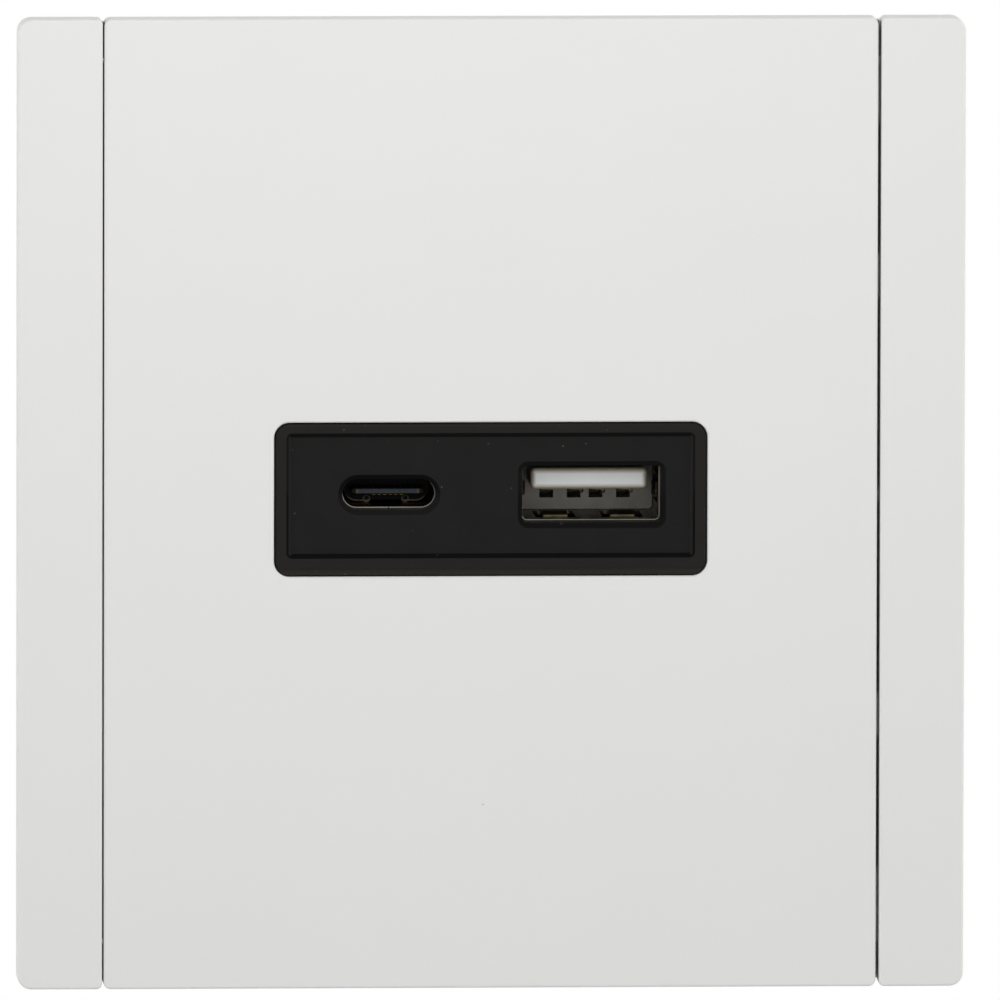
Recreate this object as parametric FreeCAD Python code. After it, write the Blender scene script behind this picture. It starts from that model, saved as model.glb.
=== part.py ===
import FreeCAD, Part
import math
import os

from FreeCAD import Vector

# Flush-mounted USB wall socket with one USB-C and one USB-A port.
# Millimetres. +X is right and +Z is up, seen from the room. +Y goes into the wall.
# The origin is on the wall plane, midway between the two wall screws.

# Wall plate: a frame with two side rails, and a centre cover between them
plate_width = 86.0
plate_height = 88.3
plate_projection = 8.5
rail_width = 7.7
rail_gap = 0.2
frame_play = 0.07
slab_edge = 3.0
skin = 2.0
edge_lip = 1.4
edge_round = 0.25
outer_corner = 1.3
rail_inner_corner = 0.5
cover_corner = 0.65
weld = 0.5
tool_corner = 0.4
round_end_gap = 0.01

# Frame below its rails
bar_height = 3.1
bar_setback = 0.5
bar_thickness = 1.6
skirt_inset = 2.2
skirt_wall = 1.6
guide_depth = 5.5
guide_wall = 1.4
rail_rib = 1.0
rail_rib_count = 5
rib_root = 0.2

# Inside of the cover
cover_wall_depth = 5.0
cover_wall = 1.5
cover_bar_gap = 0.4
seat_gap = 0.1
collar_wall = 1.2
collar_depth = 4.2
cover_rib = 1.0
cover_rib_depth = 3.0
cover_rib_x = 15.0
arm_x = 15.0
arm_width = 6.0
arm_thickness = 1.2
arm_gap = 0.15
barb_reach = 0.8
barb_height = 0.8

# Nose of the housing, which shows in the cover's window
nose_width = 39.12
nose_height = 13.8
nose_corner = 1.3
nose_rise = 0.41
nose_wall = 1.6
nose_edge_round = 0.25
window_gap = 0.12
window_bevel = 0.12
lip_height = 0.6
lip_step = 0.15
lip_corner = 1.75
panel_width = 37.1
panel_height = 11.4
panel_corner = 0.5
panel_depth = 0.45
panel_slope = 0.4
panel_rise = 0.34
panel_thickness = 1.4

# Ports, with the standard openings of their shells
port_spacing = 18.4
port_rise = 0.86
mouth_chamfer = 0.42
c_mouth_width = 8.46
c_mouth_height = 2.82
c_mouth_drop = 0.06
c_opening_width = 8.34
c_opening_height = 2.56
c_sheet = 0.3
c_shell_length = 10.0
c_seam = 0.06
c_leg_width = 0.9
a_mouth_width = 12.6
a_mouth_height = 5.25
a_mouth_drop = 0.1
a_mouth_corner = 0.5
a_opening_width = 12.4
a_opening_height = 5.06
a_opening_corner = 0.4
a_sheet = 0.3
a_setback = 0.7
a_leg_width = 2.0
a_leg_rise = 1.3
a_boss_wall = 1.2

# Tongues and contacts
c_tongue_width = 6.69
c_tongue_core = 0.58
c_tongue_round = 0.12
c_tongue_setback = 1.6
c_root_depth = 4.6
c_root_width = 7.4
c_root_height = 2.1
c_contact_pitch = 0.5
c_contact_count = 12
c_contact_width = 0.25
c_contact_thickness = 0.04
c_contact_setback = 0.9
c_long_contact_count = 6
c_long_contact_setback = 0.1
c_clip_sheet = 0.12
c_dimple_x = 1.76
c_dimple_drop = 0.95
c_dimple_r = 0.34
c_dimple_bore = 0.22
c_clip_gap = 2.9
a_tongue_width = 10.6
a_tongue_thickness = 1.94
a_tongue_rise = -0.03
a_tongue_setback = 2.4
a_tongue_corner = 0.45
a_tongue_round = 0.4
a_back_wall_depth = 9.3
a_slot_width = 1.26
a_slot_drop = 1.45
a_slot_step_width = 0.25
a_slot_step_drop = 1.02
a_contact_width = 1.0
a_contact_sheet = 0.25
a_contact_drop = 0.3
a_contact_crest_drop = 0.12
a_contact_crest_back = 4.0
a_contact_tip_reach = 1.2
a_contact_offsets = (-3.5, -1.0, 1.0, 3.5)
a_finger_x = 3.05
a_finger_width = 2.2
a_finger_length = 6.0
a_finger_start = 1.9
a_finger_slot = 0.75
a_finger_bend = 0.45
a_finger_ramp = 1.2
a_side_finger_width = 1.2
fit_gap = 0.05

# Steel support ring and its fixings
ring_side_gap = 3.7
ring_end_gap = 4.85
wall_slot_edge = 5.5
wall_slot_length = 7.0
wall_slot_width = 4.0
ring_corner = 3.0
ring_thickness = 1.2
ring_fold = 2.4
ring_fold_length = 44.0
clamp_inset = 3.0
clamp_screw_r = 1.2
clamp_head_r = 2.3
clamp_head_height = 1.4
clamp_screw_length = 12.0
clamp_hole_gap = 0.3
clamp_head_round = 0.47
driver_slot_length = 2.76
pilot_gap = 0.05
driver_slot_width = 0.6
driver_slot_depth = 0.7
ring_hole_r = 1.6
ring_hole_inset = 4.0
ring_notch_z = 20.0
ring_notch_width = 4.0
ring_notch_depth = 1.4
ring_mark = 1.4

# Housing
housing_width = 44.0
housing_height = 36.0
housing_depth = 28.0
housing_corner = 4.0
housing_wall = 1.5
housing_draft = 0.25
rear_edge_round = 0.8
rim_width = 1.0
rim_depth = 1.5
box_rib_width = 1.0
box_rib_height = 0.5
box_rib_end = 5.0
box_rib_spacing = 18.0
label_side_gap = 6.0
label_top_gap = 5.0
label_floor_gap = 6.0
label_depth = 0.3
label_corner = 1.0
gauge_length = 8.0
gauge_width = 1.4
gauge_depth = 0.6
gauge_floor_gap = 2.0
boss_r = 3.4
boss_depth = 11.0
running_gap = 0.3
flange_width = 51.0
flange_height = 44.0
flange_corner = 3.0
flange_thickness = 2.2
flange_lug = 1.0
spigot_wall = 1.2
spigot_depth = 2.4
pillar_side_gap = 7.0
pillar_end_gap = 6.3
pillar_r = 1.8

# Circuit boards, in the order in which they follow the ports into the wall
board_thickness = 1.2
port_board_y = 8.3
board_space = 3.5
film_thickness = 0.3
ledge_reach = 1.3
ledge_thickness = 1.4
ledge_z = 5.0
link_pin = 0.6
link_pitch = 2.54
link_count = 4
link_boss_gap = 2.92
link_top_gap = 2.05
link_body = 2.5
pin_reach = 1.1

# Parts on the port board
output_cap_height = 7.6
can_round_share = 0.12
can_groove_place = 1.4
can_groove_reach = 0.15
can_groove_r = 0.45
output_cap_count = 2
output_cap_space = 0.7
output_cap_pin_gap = 0.94
output_cap_pillar_gap = 0.95
output_cap_top_gap = 2.35
choke_size = 6.0
choke_height = 3.2
choke_floor_gap = 3.1
choke_corner = 0.8
chip_length = 5.0
chip_width = 4.0
chip_height = 1.0
chip_x = (-10.5, 1.5, 9.5)
chip_z = -8.0

# Parts on the power board
core_left_gap = 1.6
core_right_gap = 2.3
core_depth = 10.6
core_floor_gap = 0.8
core_top_gap = 1.3
core_leg = 1.8
core_centre_leg = 3.0
bobbin_wall = 0.5
bobbin_flange = 0.8
bobbin_gap = 0.1
rail_thickness = 1.1
bobbin_pin_r = 0.3
bobbin_pin_count = 4
bobbin_pin_margin = 0.8
winding_height = 1.9
winding_corner = 0.8
bobbin_rail_edge = 0.6
bobbin_rail_end = 1.0
bulk_cap_count = 2
bulk_cap_space = 0.6
bulk_cap_floor_gap = 1.1
bulk_cap_top_gap = 4.2
bulk_cap_height = 11.5
bulk_cap_side_gap = 2.2
input_choke_fuse_gap = 0.6
input_choke_film_gap = 0.4
input_choke_height = 10.0
input_choke_side_gap = 2.7
drum_flange = 1.4
drum_waist = 0.5
film_cap_length = 10.0
film_cap_width = 4.2
film_cap_height = 10.5
film_cap_side_gap = 2.9
film_cap_top_gap = 4.5
film_cap_round = 0.3
disc_cap_r = 3.6
disc_cap_thickness = 2.6
disc_cap_top_gap = 0.6
disc_cap_round_share = 0.45
fuse_r = 1.7
fuse_length = 8.4
fuse_cap = 2.2
fuse_side_gap = 1.7
fuse_gap = 0.8
fuse_waist_share = 0.85
fuse_round = 0.5
package_height = 2.4
package_count = 3
package_space = 1.5
package_left_gap = 1.0
package_right_gap = 1.4
package_gap = 0.6
package_width = 4.0
package_slope = 0.2
package_corner = 0.2

# Terminal block with two wire entries and one release button for each pole
terminal_side_gap = 3.5
terminal_floor_gap = 0.7
terminal_height = 10.4
terminal_wall = 1.2
terminal_neck = 0.8
terminal_gap = 0.15
terminal_corner = 0.5
well_corner = 0.3
entry_offset = 3.2
entry_r = 1.6
entry_depth = 5.0
entry_drop = 1.5
entry_funnel = 0.5
button_width = 5.0
button_height = 2.4
button_rise = 2.4
button_gap = 0.15
button_stand = 0.8
button_foot = 1.2
button_foot_reach = 0.7
button_round = 0.25
button_stem = 2.2
button_notch_length = 2.4
button_notch_width = 0.6
button_notch_depth = 0.5
pole_rib = 1.0
busbar_sheet = 0.8
busbar_width = 9.6
busbar_leg_width = 2.0
busbar_lift = 0.8
busbar_end_gap = 0.4
spring_sheet = 0.35
spring_leg_width = 3.2
spring_bend_r = 1.3
spring_tip_gap = 1.2
spring_back_gap = 2.5
spring_bridge = 3.0

# Places that follow from the sizes above
front = -plate_projection
slab_rear = front + slab_edge
skin_rear = front + skin
opening_width = plate_width - 2 * rail_width
cover_width = opening_width - 2 * rail_gap
bar_top = plate_height / 2 - bar_setback
bar_foot = bar_top - bar_height
ring_front = -ring_thickness
flange_front = ring_front - flange_thickness
nose_z = nose_rise
panel_z = nose_z + panel_rise
panel_face = front + panel_depth
panel_rear = panel_face + panel_thickness
port_z = port_rise
c_x = -port_spacing / 2
a_x = port_spacing / 2
c_front = panel_rear
a_front = panel_rear + a_setback
c_root_y = c_front + c_root_depth
c_leg_x = (c_opening_width + c_sheet) / 2
a_leg_x = (a_opening_width + a_sheet) / 2
a_wall_y = a_front + a_back_wall_depth
port_board_rear = port_board_y + board_thickness
power_board_y = port_board_rear + board_space
power_board_rear = power_board_y + board_thickness
inner_width = housing_width - 2 * housing_wall
inner_height = housing_height - 2 * housing_wall
inner_corner = housing_corner - housing_wall
inner_side = inner_width / 2
inner_top_z = inner_height / 2
rear_wall_y = housing_depth - housing_wall
skirt_inner_width = plate_width - 2 * (skirt_inset + skirt_wall)
skirt_inner_height = plate_height - 2 * (skirt_inset + skirt_wall)
ring_width = skirt_inner_width - 2 * ring_side_gap
ring_height = skirt_inner_height - 2 * ring_end_gap
clamp_screw_x = housing_width / 2 - clamp_inset
clamp_screw_z = housing_height / 2 - clamp_inset
pillar_x = inner_side - pillar_side_gap
pillar_z = inner_top_z - pillar_end_gap
link_length = link_count * link_pitch
link_x = boss_r + link_boss_gap + link_length / 2 - clamp_screw_x
link_z = inner_top_z - link_top_gap - link_body / 2
output_cap_left = link_x + (link_length - link_pitch + link_pin) / 2 + output_cap_pin_gap
output_cap_right = pillar_x - pillar_r - output_cap_pillar_gap
output_cap_row = output_cap_right - output_cap_left + output_cap_space
output_cap_r = (output_cap_row / output_cap_count - output_cap_space) / 2
output_cap_z = inner_top_z - output_cap_top_gap - output_cap_r
choke_z = choke_floor_gap + choke_size / 2 - inner_top_z
terminal_width = inner_width - 2 * terminal_side_gap
terminal_z = terminal_floor_gap + terminal_height / 2 - inner_top_z
terminal_top = terminal_z + terminal_height / 2
pole_x = (terminal_width - terminal_wall) / 4
bulk_cap_floor = terminal_top + bulk_cap_floor_gap
bulk_cap_column = inner_top_z - bulk_cap_top_gap - bulk_cap_floor + bulk_cap_space
bulk_cap_r = (bulk_cap_column / bulk_cap_count - bulk_cap_space) / 2
bulk_cap_x = inner_side - bulk_cap_side_gap - bulk_cap_r
fuse_x = fuse_side_gap + fuse_length / 2 - inner_side
fuse_z = terminal_top + fuse_gap + fuse_r
film_cap_x = film_cap_side_gap + film_cap_length / 2 - inner_side
film_cap_z = inner_top_z - film_cap_top_gap - film_cap_width / 2
input_choke_low = fuse_z + fuse_r + input_choke_fuse_gap
input_choke_high = film_cap_z - film_cap_width / 2 - input_choke_film_gap
input_choke_r = (input_choke_high - input_choke_low) / 2
input_choke_z = (input_choke_high + input_choke_low) / 2
input_choke_x = input_choke_side_gap + input_choke_r - inner_side
package_z = terminal_top + package_gap + package_width / 2
package_left = fuse_x + fuse_length / 2 + package_left_gap
package_right = bulk_cap_x - bulk_cap_r - package_right_gap
package_step = (package_right - package_left + package_space) / package_count
package_length = package_step - package_space
disc_cap_z = inner_top_z - disc_cap_top_gap - disc_cap_thickness / 2
winding_space = (core_depth - 2 * core_leg - core_centre_leg) / 2
core_left = film_cap_x + film_cap_length / 2 + core_left_gap
core_right = bulk_cap_x - bulk_cap_r - core_right_gap
core_length = core_right - core_left
core_x = (core_left + core_right) / 2
core_low = package_z + package_width / 2 + core_floor_gap + winding_space
core_high = disc_cap_z - disc_cap_thickness / 2 - core_top_gap - winding_space
core_thickness = core_high - core_low
core_z = (core_high + core_low) / 2
bobbin_pin_pitch = (core_thickness + 2 * bobbin_pin_margin) / (bobbin_pin_count - 1)
entry_z = terminal_z - entry_drop
button_z = terminal_z + button_rise
entry_inner_y = housing_depth - entry_depth


def outline(width, height, radii, y, x=0.0, z=0.0):
    """Rectangle with round corners, parallel to the wall. Corners run +X+Z, -X+Z, -X-Z, +X-Z."""
    if not isinstance(radii, tuple):
        radii = (radii,) * 4
    edges = []
    ends = []
    for (sx, sz), radius in zip(((1, 1), (-1, 1), (-1, -1), (1, -1)), radii):
        inset = radius * (1 - math.sqrt(0.5))
        side = Vector(x + sx * width / 2, y, z + sz * (height / 2 - radius))
        end = Vector(x + sx * (width / 2 - radius), y, z + sz * height / 2)
        middle = Vector(x + sx * (width / 2 - inset), y, z + sz * (height / 2 - inset))
        first, last = (side, end) if sx * sz > 0 else (end, side)
        if ends and ends[-1].distanceToPoint(first) > 1e-6:
            edges.append(Part.makeLine(ends[-1], first))
        edges.append(Part.Arc(first, middle, last).toShape())
        ends += [first, last]
    if ends[-1].distanceToPoint(ends[0]) > 1e-6:
        edges.append(Part.makeLine(ends[-1], ends[0]))
    return Part.Wire(edges)


def slab(width, height, radii, y_front, y_rear, x=0.0, z=0.0):
    """Round-cornered block between two planes parallel to the wall."""
    face = Part.Face(outline(width, height, radii, y_front, x, z))
    return face.extrude(Vector(0, y_rear - y_front, 0))


def block(x0, x1, y0, y1, z0, z1):
    return Part.makeBox(x1 - x0, y1 - y0, z1 - z0, Vector(x0, y0, z0))


def rod(radius, y_front, y_rear, x, z):
    """Round bar square to the wall."""
    return Part.makeCylinder(radius, y_rear - y_front, Vector(x, y_front, z), Vector(0, 1, 0))


def cone(r_front, r_rear, y_front, y_rear, x, z):
    return Part.makeCone(r_front, r_rear, y_rear - y_front, Vector(x, y_front, z), Vector(0, 1, 0))


def wall(width, height, radius, thickness, y_front, y_rear, x=0.0, z=0.0):
    """Round-cornered ring of even thickness."""
    outer = slab(width, height, radius, y_front, y_rear, x, z)
    inner_radius = max(radius - thickness, 0.2)
    inner = slab(width - 2 * thickness, height - 2 * thickness, inner_radius, y_front, y_rear, x, z)
    return outer.cut(inner)


def bevelled_hole(width, height, radius, grow, y_front, y_rear, x, z):
    """Cutter for a mouth that widens by grow on each side over the same depth at its front."""
    wide = outline(width + 2 * grow, height + 2 * grow, radius + grow, y_front, x, z)
    narrow = outline(width, height, radius, y_front + grow, x, z)
    funnel = Part.makeLoft([wide, narrow], True, True)
    return funnel.fuse(slab(width, height, radius, y_front + grow, y_rear, x, z))


def profile_along_x(points, x0, x1):
    """Prism along X with a closed outline given as (y, z) points."""
    corners = [Vector(x0, y, z) for y, z in points]
    face = Part.Face(Part.makePolygon(corners + corners[:1]))
    return face.extrude(Vector(x1 - x0, 0, 0))


def edges_at(shape, y):
    """Edges that lie in one plane parallel to the wall."""
    return [e for e in shape.Edges if all(abs(v.Point.y - y) < 1e-6 for v in e.Vertexes)]


def round_front(shape, y, radius):
    return shape.makeFillet(radius, edges_at(shape, y))


def clamp_places():
    return [(sx * clamp_screw_x, sz * clamp_screw_z) for sx in (-1, 1) for sz in (-1, 1)]


def inner_outline_block(clearance, y_front, y_rear):
    """Block that fits the housing and passes its four corner bosses, smaller by the clearance."""
    body = slab(
        inner_width - 2 * clearance, inner_height - 2 * clearance, inner_corner, y_front, y_rear
    )
    bosses = [rod(boss_r + clearance, y_front, y_rear, x, z) for x, z in clamp_places()]
    return body.cut(bosses)


def make_surround_frame():
    """Two rails joined by recessed cross-bars and a skirt that reaches the wall."""
    rails = []
    for side in (-1, 1):
        x = frame_play + side * (opening_width + rail_width) / 2
        outer, inner = outer_corner, rail_inner_corner
        radii = (outer, inner, inner, outer) if side > 0 else (inner, outer, outer, inner)
        face = slab(rail_width, plate_height, radii, front, slab_rear, x)
        rails.append(round_front(face, front, edge_round))
    hollow = slab(
        plate_width - 2 * edge_lip, plate_height - 2 * edge_lip, tool_corner, skin_rear, slab_rear, frame_play
    )
    rails = [rail.cut(hollow) for rail in rails]
    pieces = []
    skirt_width = plate_width - 2 * skirt_inset
    skirt_height = plate_height - 2 * skirt_inset
    pieces.append(wall(skirt_width, skirt_height, outer_corner, skirt_wall, slab_rear, 0, frame_play))
    deep = wall(skirt_width, skirt_height, outer_corner, skirt_wall, skirt_rail_top(), 0, frame_play)
    channel = block(
        frame_play - opening_width / 2, frame_play + opening_width / 2,
        front - 1, slab_rear, -plate_height, plate_height,
    )
    pieces.append(deep.cut(channel))
    guide_rear = front + guide_depth
    for side in (-1, 1):
        near = frame_play + side * opening_width / 2
        far = near + side * guide_wall
        x0, x1 = sorted((near, far))
        pieces.append(block(x0, x1, skin_rear - weld, guide_rear, -bar_top, bar_top))
        bar_low, bar_high = sorted((side * bar_foot, side * bar_top))
        half = opening_width / 2 + guide_wall
        bar_rear = slab_rear + bar_thickness
        pieces.append(block(frame_play - half, frame_play + half, slab_rear, bar_rear, bar_low, bar_high))
        skirt_inner = frame_play + side * (skirt_width / 2 - skirt_wall / 2)
        x0, x1 = sorted((far - side * rib_root, skirt_inner))
        step = 2 * bar_foot / (rail_rib_count + 1)
        for index in range(rail_rib_count):
            rib_z = -bar_foot + (index + 1) * step
            z0 = rib_z - rail_rib / 2
            pieces.append(block(x0, x1, skin_rear - weld, slab_rear + rail_rib, z0, z0 + rail_rib))
    return rails[0].multiFuse(rails[1:] + pieces).removeSplitter()


def skirt_rail_top():
    """Where the skirt meets the underside of a rail."""
    return skin_rear - weld


def make_centre_cover():
    """Shallow moulded cover with a window for the nose and four snap arms."""
    face = slab(cover_width, plate_height, cover_corner, front, skin_rear)
    cover = round_front(face, front, edge_round)
    lip_rear = slab_rear - seat_gap
    ends = slab(cover_width, plate_height, cover_corner, skin_rear, lip_rear)
    inside = block(
        -cover_width, cover_width, skin_rear, lip_rear,
        -plate_height / 2 + edge_lip, plate_height / 2 - edge_lip,
    )
    pieces = [ends.cut(inside)]
    inner_top = bar_foot - cover_bar_gap
    wall_rear = front + cover_wall_depth
    pieces.append(wall(cover_width, 2 * inner_top, tool_corner, cover_wall, skin_rear, wall_rear))
    window_width = nose_width + 2 * window_gap
    window_height = nose_height + 2 * window_gap
    collar_width = window_width + 2 * collar_wall
    collar_height = window_height + 2 * collar_wall
    collar_corner = nose_corner + window_gap + collar_wall
    collar_rear = front + collar_depth
    pieces.append(slab(collar_width, collar_height, collar_corner, skin_rear, collar_rear, 0, nose_z))
    rib_rear = front + cover_rib_depth
    rib_end = inner_top - weld
    for sx in (-1, 1):
        x0 = sx * cover_rib_x - cover_rib / 2
        pieces.append(block(x0, x0 + cover_rib, skin_rear, rib_rear, -rib_end, rib_end))
    rib_end = cover_width / 2 - weld
    z0 = nose_z - cover_rib / 2
    pieces.append(block(-rib_end, rib_end, skin_rear, rib_rear, z0, z0 + cover_rib))
    for sx in (-1, 1):
        for sz in (-1, 1):
            pieces.append(snap_arm(sx, sz))
    cover = cover.multiFuse(pieces)
    window = bevelled_hole(
        window_width, window_height, nose_corner + window_gap, window_bevel,
        front, collar_rear + 1, 0, nose_z,
    )
    return cover.cut(window).removeSplitter()


def lug_rear():
    """Rear of the thin lug under which a snap arm's barb catches."""
    return flange_front + flange_lug


def snap_arm(sx, sz):
    """Arm beside the flange's edge, with a barb that catches behind the flange's lug."""
    near = flange_height / 2 + arm_gap
    barb_front = lug_rear() + seat_gap
    barb_rear = barb_front + barb_height
    points = [
        (skin_rear, sz * near),
        (barb_front, sz * near),
        (barb_front, sz * (near - barb_reach)),
        (barb_rear, sz * (near + 0.2)),
        (barb_rear, sz * (near + arm_thickness)),
        (skin_rear, sz * (near + arm_thickness)),
    ]
    return profile_along_x(points, sx * arm_x - arm_width / 2, sx * arm_x + arm_width / 2)


def make_housing_front():
    """Flange, nose with the recessed panel and two mouths, spigot, and pillars for the board."""
    nose = slab(nose_width, nose_height, nose_corner, front, flange_front, 0, nose_z)
    nose = round_front(nose, front, nose_edge_round)
    shoulder = slab(nose_width + 1, nose_height + 1, nose_corner, front - 1, front + lip_step, 0, nose_z)
    upper = slab(
        nose_width + 2, nose_height, (nose_corner, nose_corner, lip_corner, lip_corner),
        front - 1, front + lip_step, 0, nose_z + lip_height,
    )
    nose = nose.cut(shoulder.cut(upper))
    flange = slab(flange_width, flange_height, flange_corner, flange_front, ring_front)
    spigot = inner_outline_block(running_gap, ring_front, spigot_depth)
    front_part = nose.multiFuse([flange, spigot])
    cavity = slab(
        nose_width - 2 * nose_wall, nose_height - 2 * nose_wall, tool_corner,
        panel_rear, ring_front, 0, nose_z,
    )
    spigot_hollow = inner_outline_block(running_gap + spigot_wall, ring_front, spigot_depth)
    a_boss = slab(
        a_mouth_width + 2 * a_boss_wall, a_mouth_height + 2 * a_boss_wall, a_boss_wall,
        panel_rear, a_front, a_x, port_z
    )
    shell_spaces = [
        slab(a_opening_width + 2 * (a_sheet + running_gap), a_opening_height + 2 * (a_sheet + running_gap),
             a_opening_corner + a_sheet + running_gap, ring_front, spigot_depth, a_x, port_z),
        slab(c_opening_width + 2 * (c_sheet + running_gap), c_opening_height + 2 * (c_sheet + running_gap),
             c_opening_height / 2, ring_front, spigot_depth, c_x, port_z),
    ]
    front_part = front_part.cut([cavity.cut(a_boss), spigot_hollow] + shell_spaces)
    panel_wide = outline(panel_width, panel_height, panel_corner, front, 0, panel_z)
    panel_narrow = outline(
        panel_width - 2 * panel_slope, panel_height - 2 * panel_slope,
        max(panel_corner - panel_slope, 0.1), panel_face, 0, panel_z,
    )
    cuts = [Part.makeLoft([panel_wide, panel_narrow], True, True)]
    cuts.append(
        bevelled_hole(c_mouth_width, c_mouth_height, c_mouth_height / 2 - round_end_gap, mouth_chamfer,
                      panel_face, panel_rear, c_x, port_z - c_mouth_drop)
    )
    cuts.append(
        bevelled_hole(a_mouth_width, a_mouth_height, a_mouth_corner, mouth_chamfer,
                      panel_face, a_front, a_x, port_z - a_mouth_drop)
    )
    for x, z in clamp_places():
        cuts.append(rod(clamp_screw_r + clamp_hole_gap, flange_front, ring_front, x, z))
    for sx in (-1, 1):
        for sz in (-1, 1):
            cuts.append(lug_pocket(sx, sz))
    front_part = front_part.cut(cuts)
    pillars = [
        rod(pillar_r, ring_front - weld, port_board_y, sx * pillar_x, sz * pillar_z)
        for sx in (-1, 1) for sz in (-1, 1)
    ]
    return front_part.multiFuse(pillars).removeSplitter()


def lug_pocket(sx, sz):
    """Undercut behind the flange's edge that takes a barb."""
    half = arm_width / 2 + running_gap
    low, high = sorted((
        sz * (flange_height / 2 + arm_gap - barb_reach - running_gap),
        sz * (flange_height / 2 + 1),
    ))
    return block(sx * arm_x - half, sx * arm_x + half, lug_rear(), ring_front, low, high)


def make_housing_rear():
    """Box that goes into the wall, with screw bosses, board ledges, a window for the terminals, a shallow
    field for a label and a groove for measuring stripped wires."""
    rear_width = housing_width - 2 * housing_draft
    rear_height = housing_height - 2 * housing_draft
    shell = Part.makeLoft(
        [
            outline(housing_width, housing_height, housing_corner, 0),
            outline(rear_width, rear_height, housing_corner, housing_depth),
        ],
        True, True,
    )
    shell = round_front(shell, housing_depth, rear_edge_round)
    rim = slab(
        housing_width + 2 * rim_width, housing_height + 2 * rim_width,
        housing_corner + rim_width, 0, rim_depth,
    )
    hollow = Part.makeLoft(
        [
            outline(inner_width, inner_height, inner_corner, 0),
            outline(
                inner_width - 2 * housing_draft, inner_height - 2 * housing_draft, inner_corner, rear_wall_y
            ),
        ],
        True, True,
    )
    shell = shell.fuse(rim).cut(hollow)
    inside = slab(
        housing_width - housing_wall, housing_height - housing_wall, housing_corner - housing_wall / 2,
        0, housing_depth - housing_wall / 2,
    )
    added = []
    for x, z in clamp_places():
        added.append(rod(boss_r, 0, boss_depth, x, z).common(inside))
    for sx in (-1, 1):
        inner = sx * (inner_width / 2 - housing_draft - ledge_reach)
        outer = sx * (inner_width / 2 + housing_wall / 2)
        x0, x1 = sorted((inner, outer))
        added.append(
            block(x0, x1, power_board_rear, rear_wall_y + housing_wall / 2,
                  ledge_z - ledge_thickness / 2, ledge_z + ledge_thickness / 2).common(inside)
        )
        x0, x1 = sorted((sx * (terminal_width / 2 + running_gap), outer))
        added.append(
            block(x0, x1, power_board_rear, rear_wall_y + housing_wall / 2,
                  terminal_z - ledge_thickness / 2, terminal_z + ledge_thickness / 2).common(inside)
        )
    shell = shell.multiFuse(added + box_ribs())
    cuts = [rod(clamp_screw_r + pilot_gap, 0, boss_depth - 1, x, z) for x, z in clamp_places()]
    label_low = terminal_top + label_floor_gap
    label_high = housing_height / 2 - label_top_gap
    cuts.append(
        slab(housing_width - 2 * label_side_gap, label_high - label_low, label_corner,
             housing_depth - label_depth, housing_depth + 1, 0, (label_high + label_low) / 2)
    )
    cuts.append(
        slab(gauge_length, gauge_width, gauge_width / 2 - round_end_gap, housing_depth - gauge_depth,
             housing_depth + 1, -pole_x, terminal_top + gauge_floor_gap + gauge_width / 2)
    )
    cuts.append(
        slab(
            terminal_width - 2 * terminal_neck + 2 * terminal_gap,
            terminal_height - 2 * terminal_neck + 2 * terminal_gap,
            terminal_corner, rear_wall_y - 1, housing_depth + 1, 0, terminal_z,
        )
    )
    return shell.cut(cuts).removeSplitter()


def box_ribs():
    """Ribs along the four outer walls of the housing, lower than its rim."""
    ribs = []
    y1 = housing_depth - box_rib_end
    half = box_rib_width / 2
    for side in (-1, 1):
        x0, x1 = sorted((side * (inner_side + weld), side * (housing_width / 2 + box_rib_height)))
        z0, z1 = sorted((side * (inner_top_z + weld), side * (housing_height / 2 + box_rib_height)))
        for place in (-box_rib_spacing / 2, box_rib_spacing / 2):
            ribs.append(block(x0, x1, 0, y1, place - half, place + half))
            ribs.append(block(place - half, place + half, 0, y1, z0, z1))
    return ribs


def make_support_ring():
    """Stamped steel plate with folded upper and lower edges, slots for the wall screws, a hole in each
    corner, notches that join it to a neighbour, and V marks for levelling."""
    plate = slab(ring_width, ring_height, ring_corner, ring_front, 0)
    folds = []
    for sz in (-1, 1):
        low, high = sorted((sz * ring_height / 2, sz * (ring_height / 2 - ring_thickness)))
        folds.append(
            block(-ring_fold_length / 2, ring_fold_length / 2, ring_front - ring_fold, 0, low, high)
        )
    plate = plate.multiFuse(folds)
    cuts = [inner_outline_block(0, ring_front, 0)]
    for x, z in clamp_places():
        cuts.append(rod(clamp_screw_r + clamp_hole_gap, ring_front, 0, x, z))
    end_r = wall_slot_width / 2 - 1e-4
    slot_x = ring_width / 2 - wall_slot_edge
    slot_z = ring_height / 2 - wall_slot_edge
    for side in (-1, 1):
        cuts.append(slab(wall_slot_length, wall_slot_width, end_r, ring_front, 0, side * slot_x, 0))
        cuts.append(slab(wall_slot_width, wall_slot_length, end_r, ring_front, 0, 0, side * slot_z))
        cuts.append(ring_mark_cutter(side))
        inner = side * (ring_width / 2 - ring_notch_depth)
        x0, x1 = sorted((inner, side * ring_width))
        for sz in (-1, 1):
            hole_x = side * (ring_width / 2 - ring_hole_inset)
            hole_z = sz * (ring_height / 2 - ring_hole_inset)
            cuts.append(rod(ring_hole_r, ring_front, 0, hole_x, hole_z))
            z0 = sz * ring_notch_z - ring_notch_width / 2
            cuts.append(block(x0, x1, ring_front, 0, z0, z0 + ring_notch_width))
    return plate.cut(cuts).removeSplitter()


def ring_mark_cutter(side):
    """Square bar on edge, which cuts the V mark at the middle of an upright edge."""
    half = ring_mark / 2
    bar = block(-half, half, ring_front, 0, -half, half)
    bar.rotate(Vector(0, 0, 0), Vector(0, 1, 0), 45)
    bar.translate(Vector(side * ring_width / 2, 0, 0))
    return bar


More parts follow.
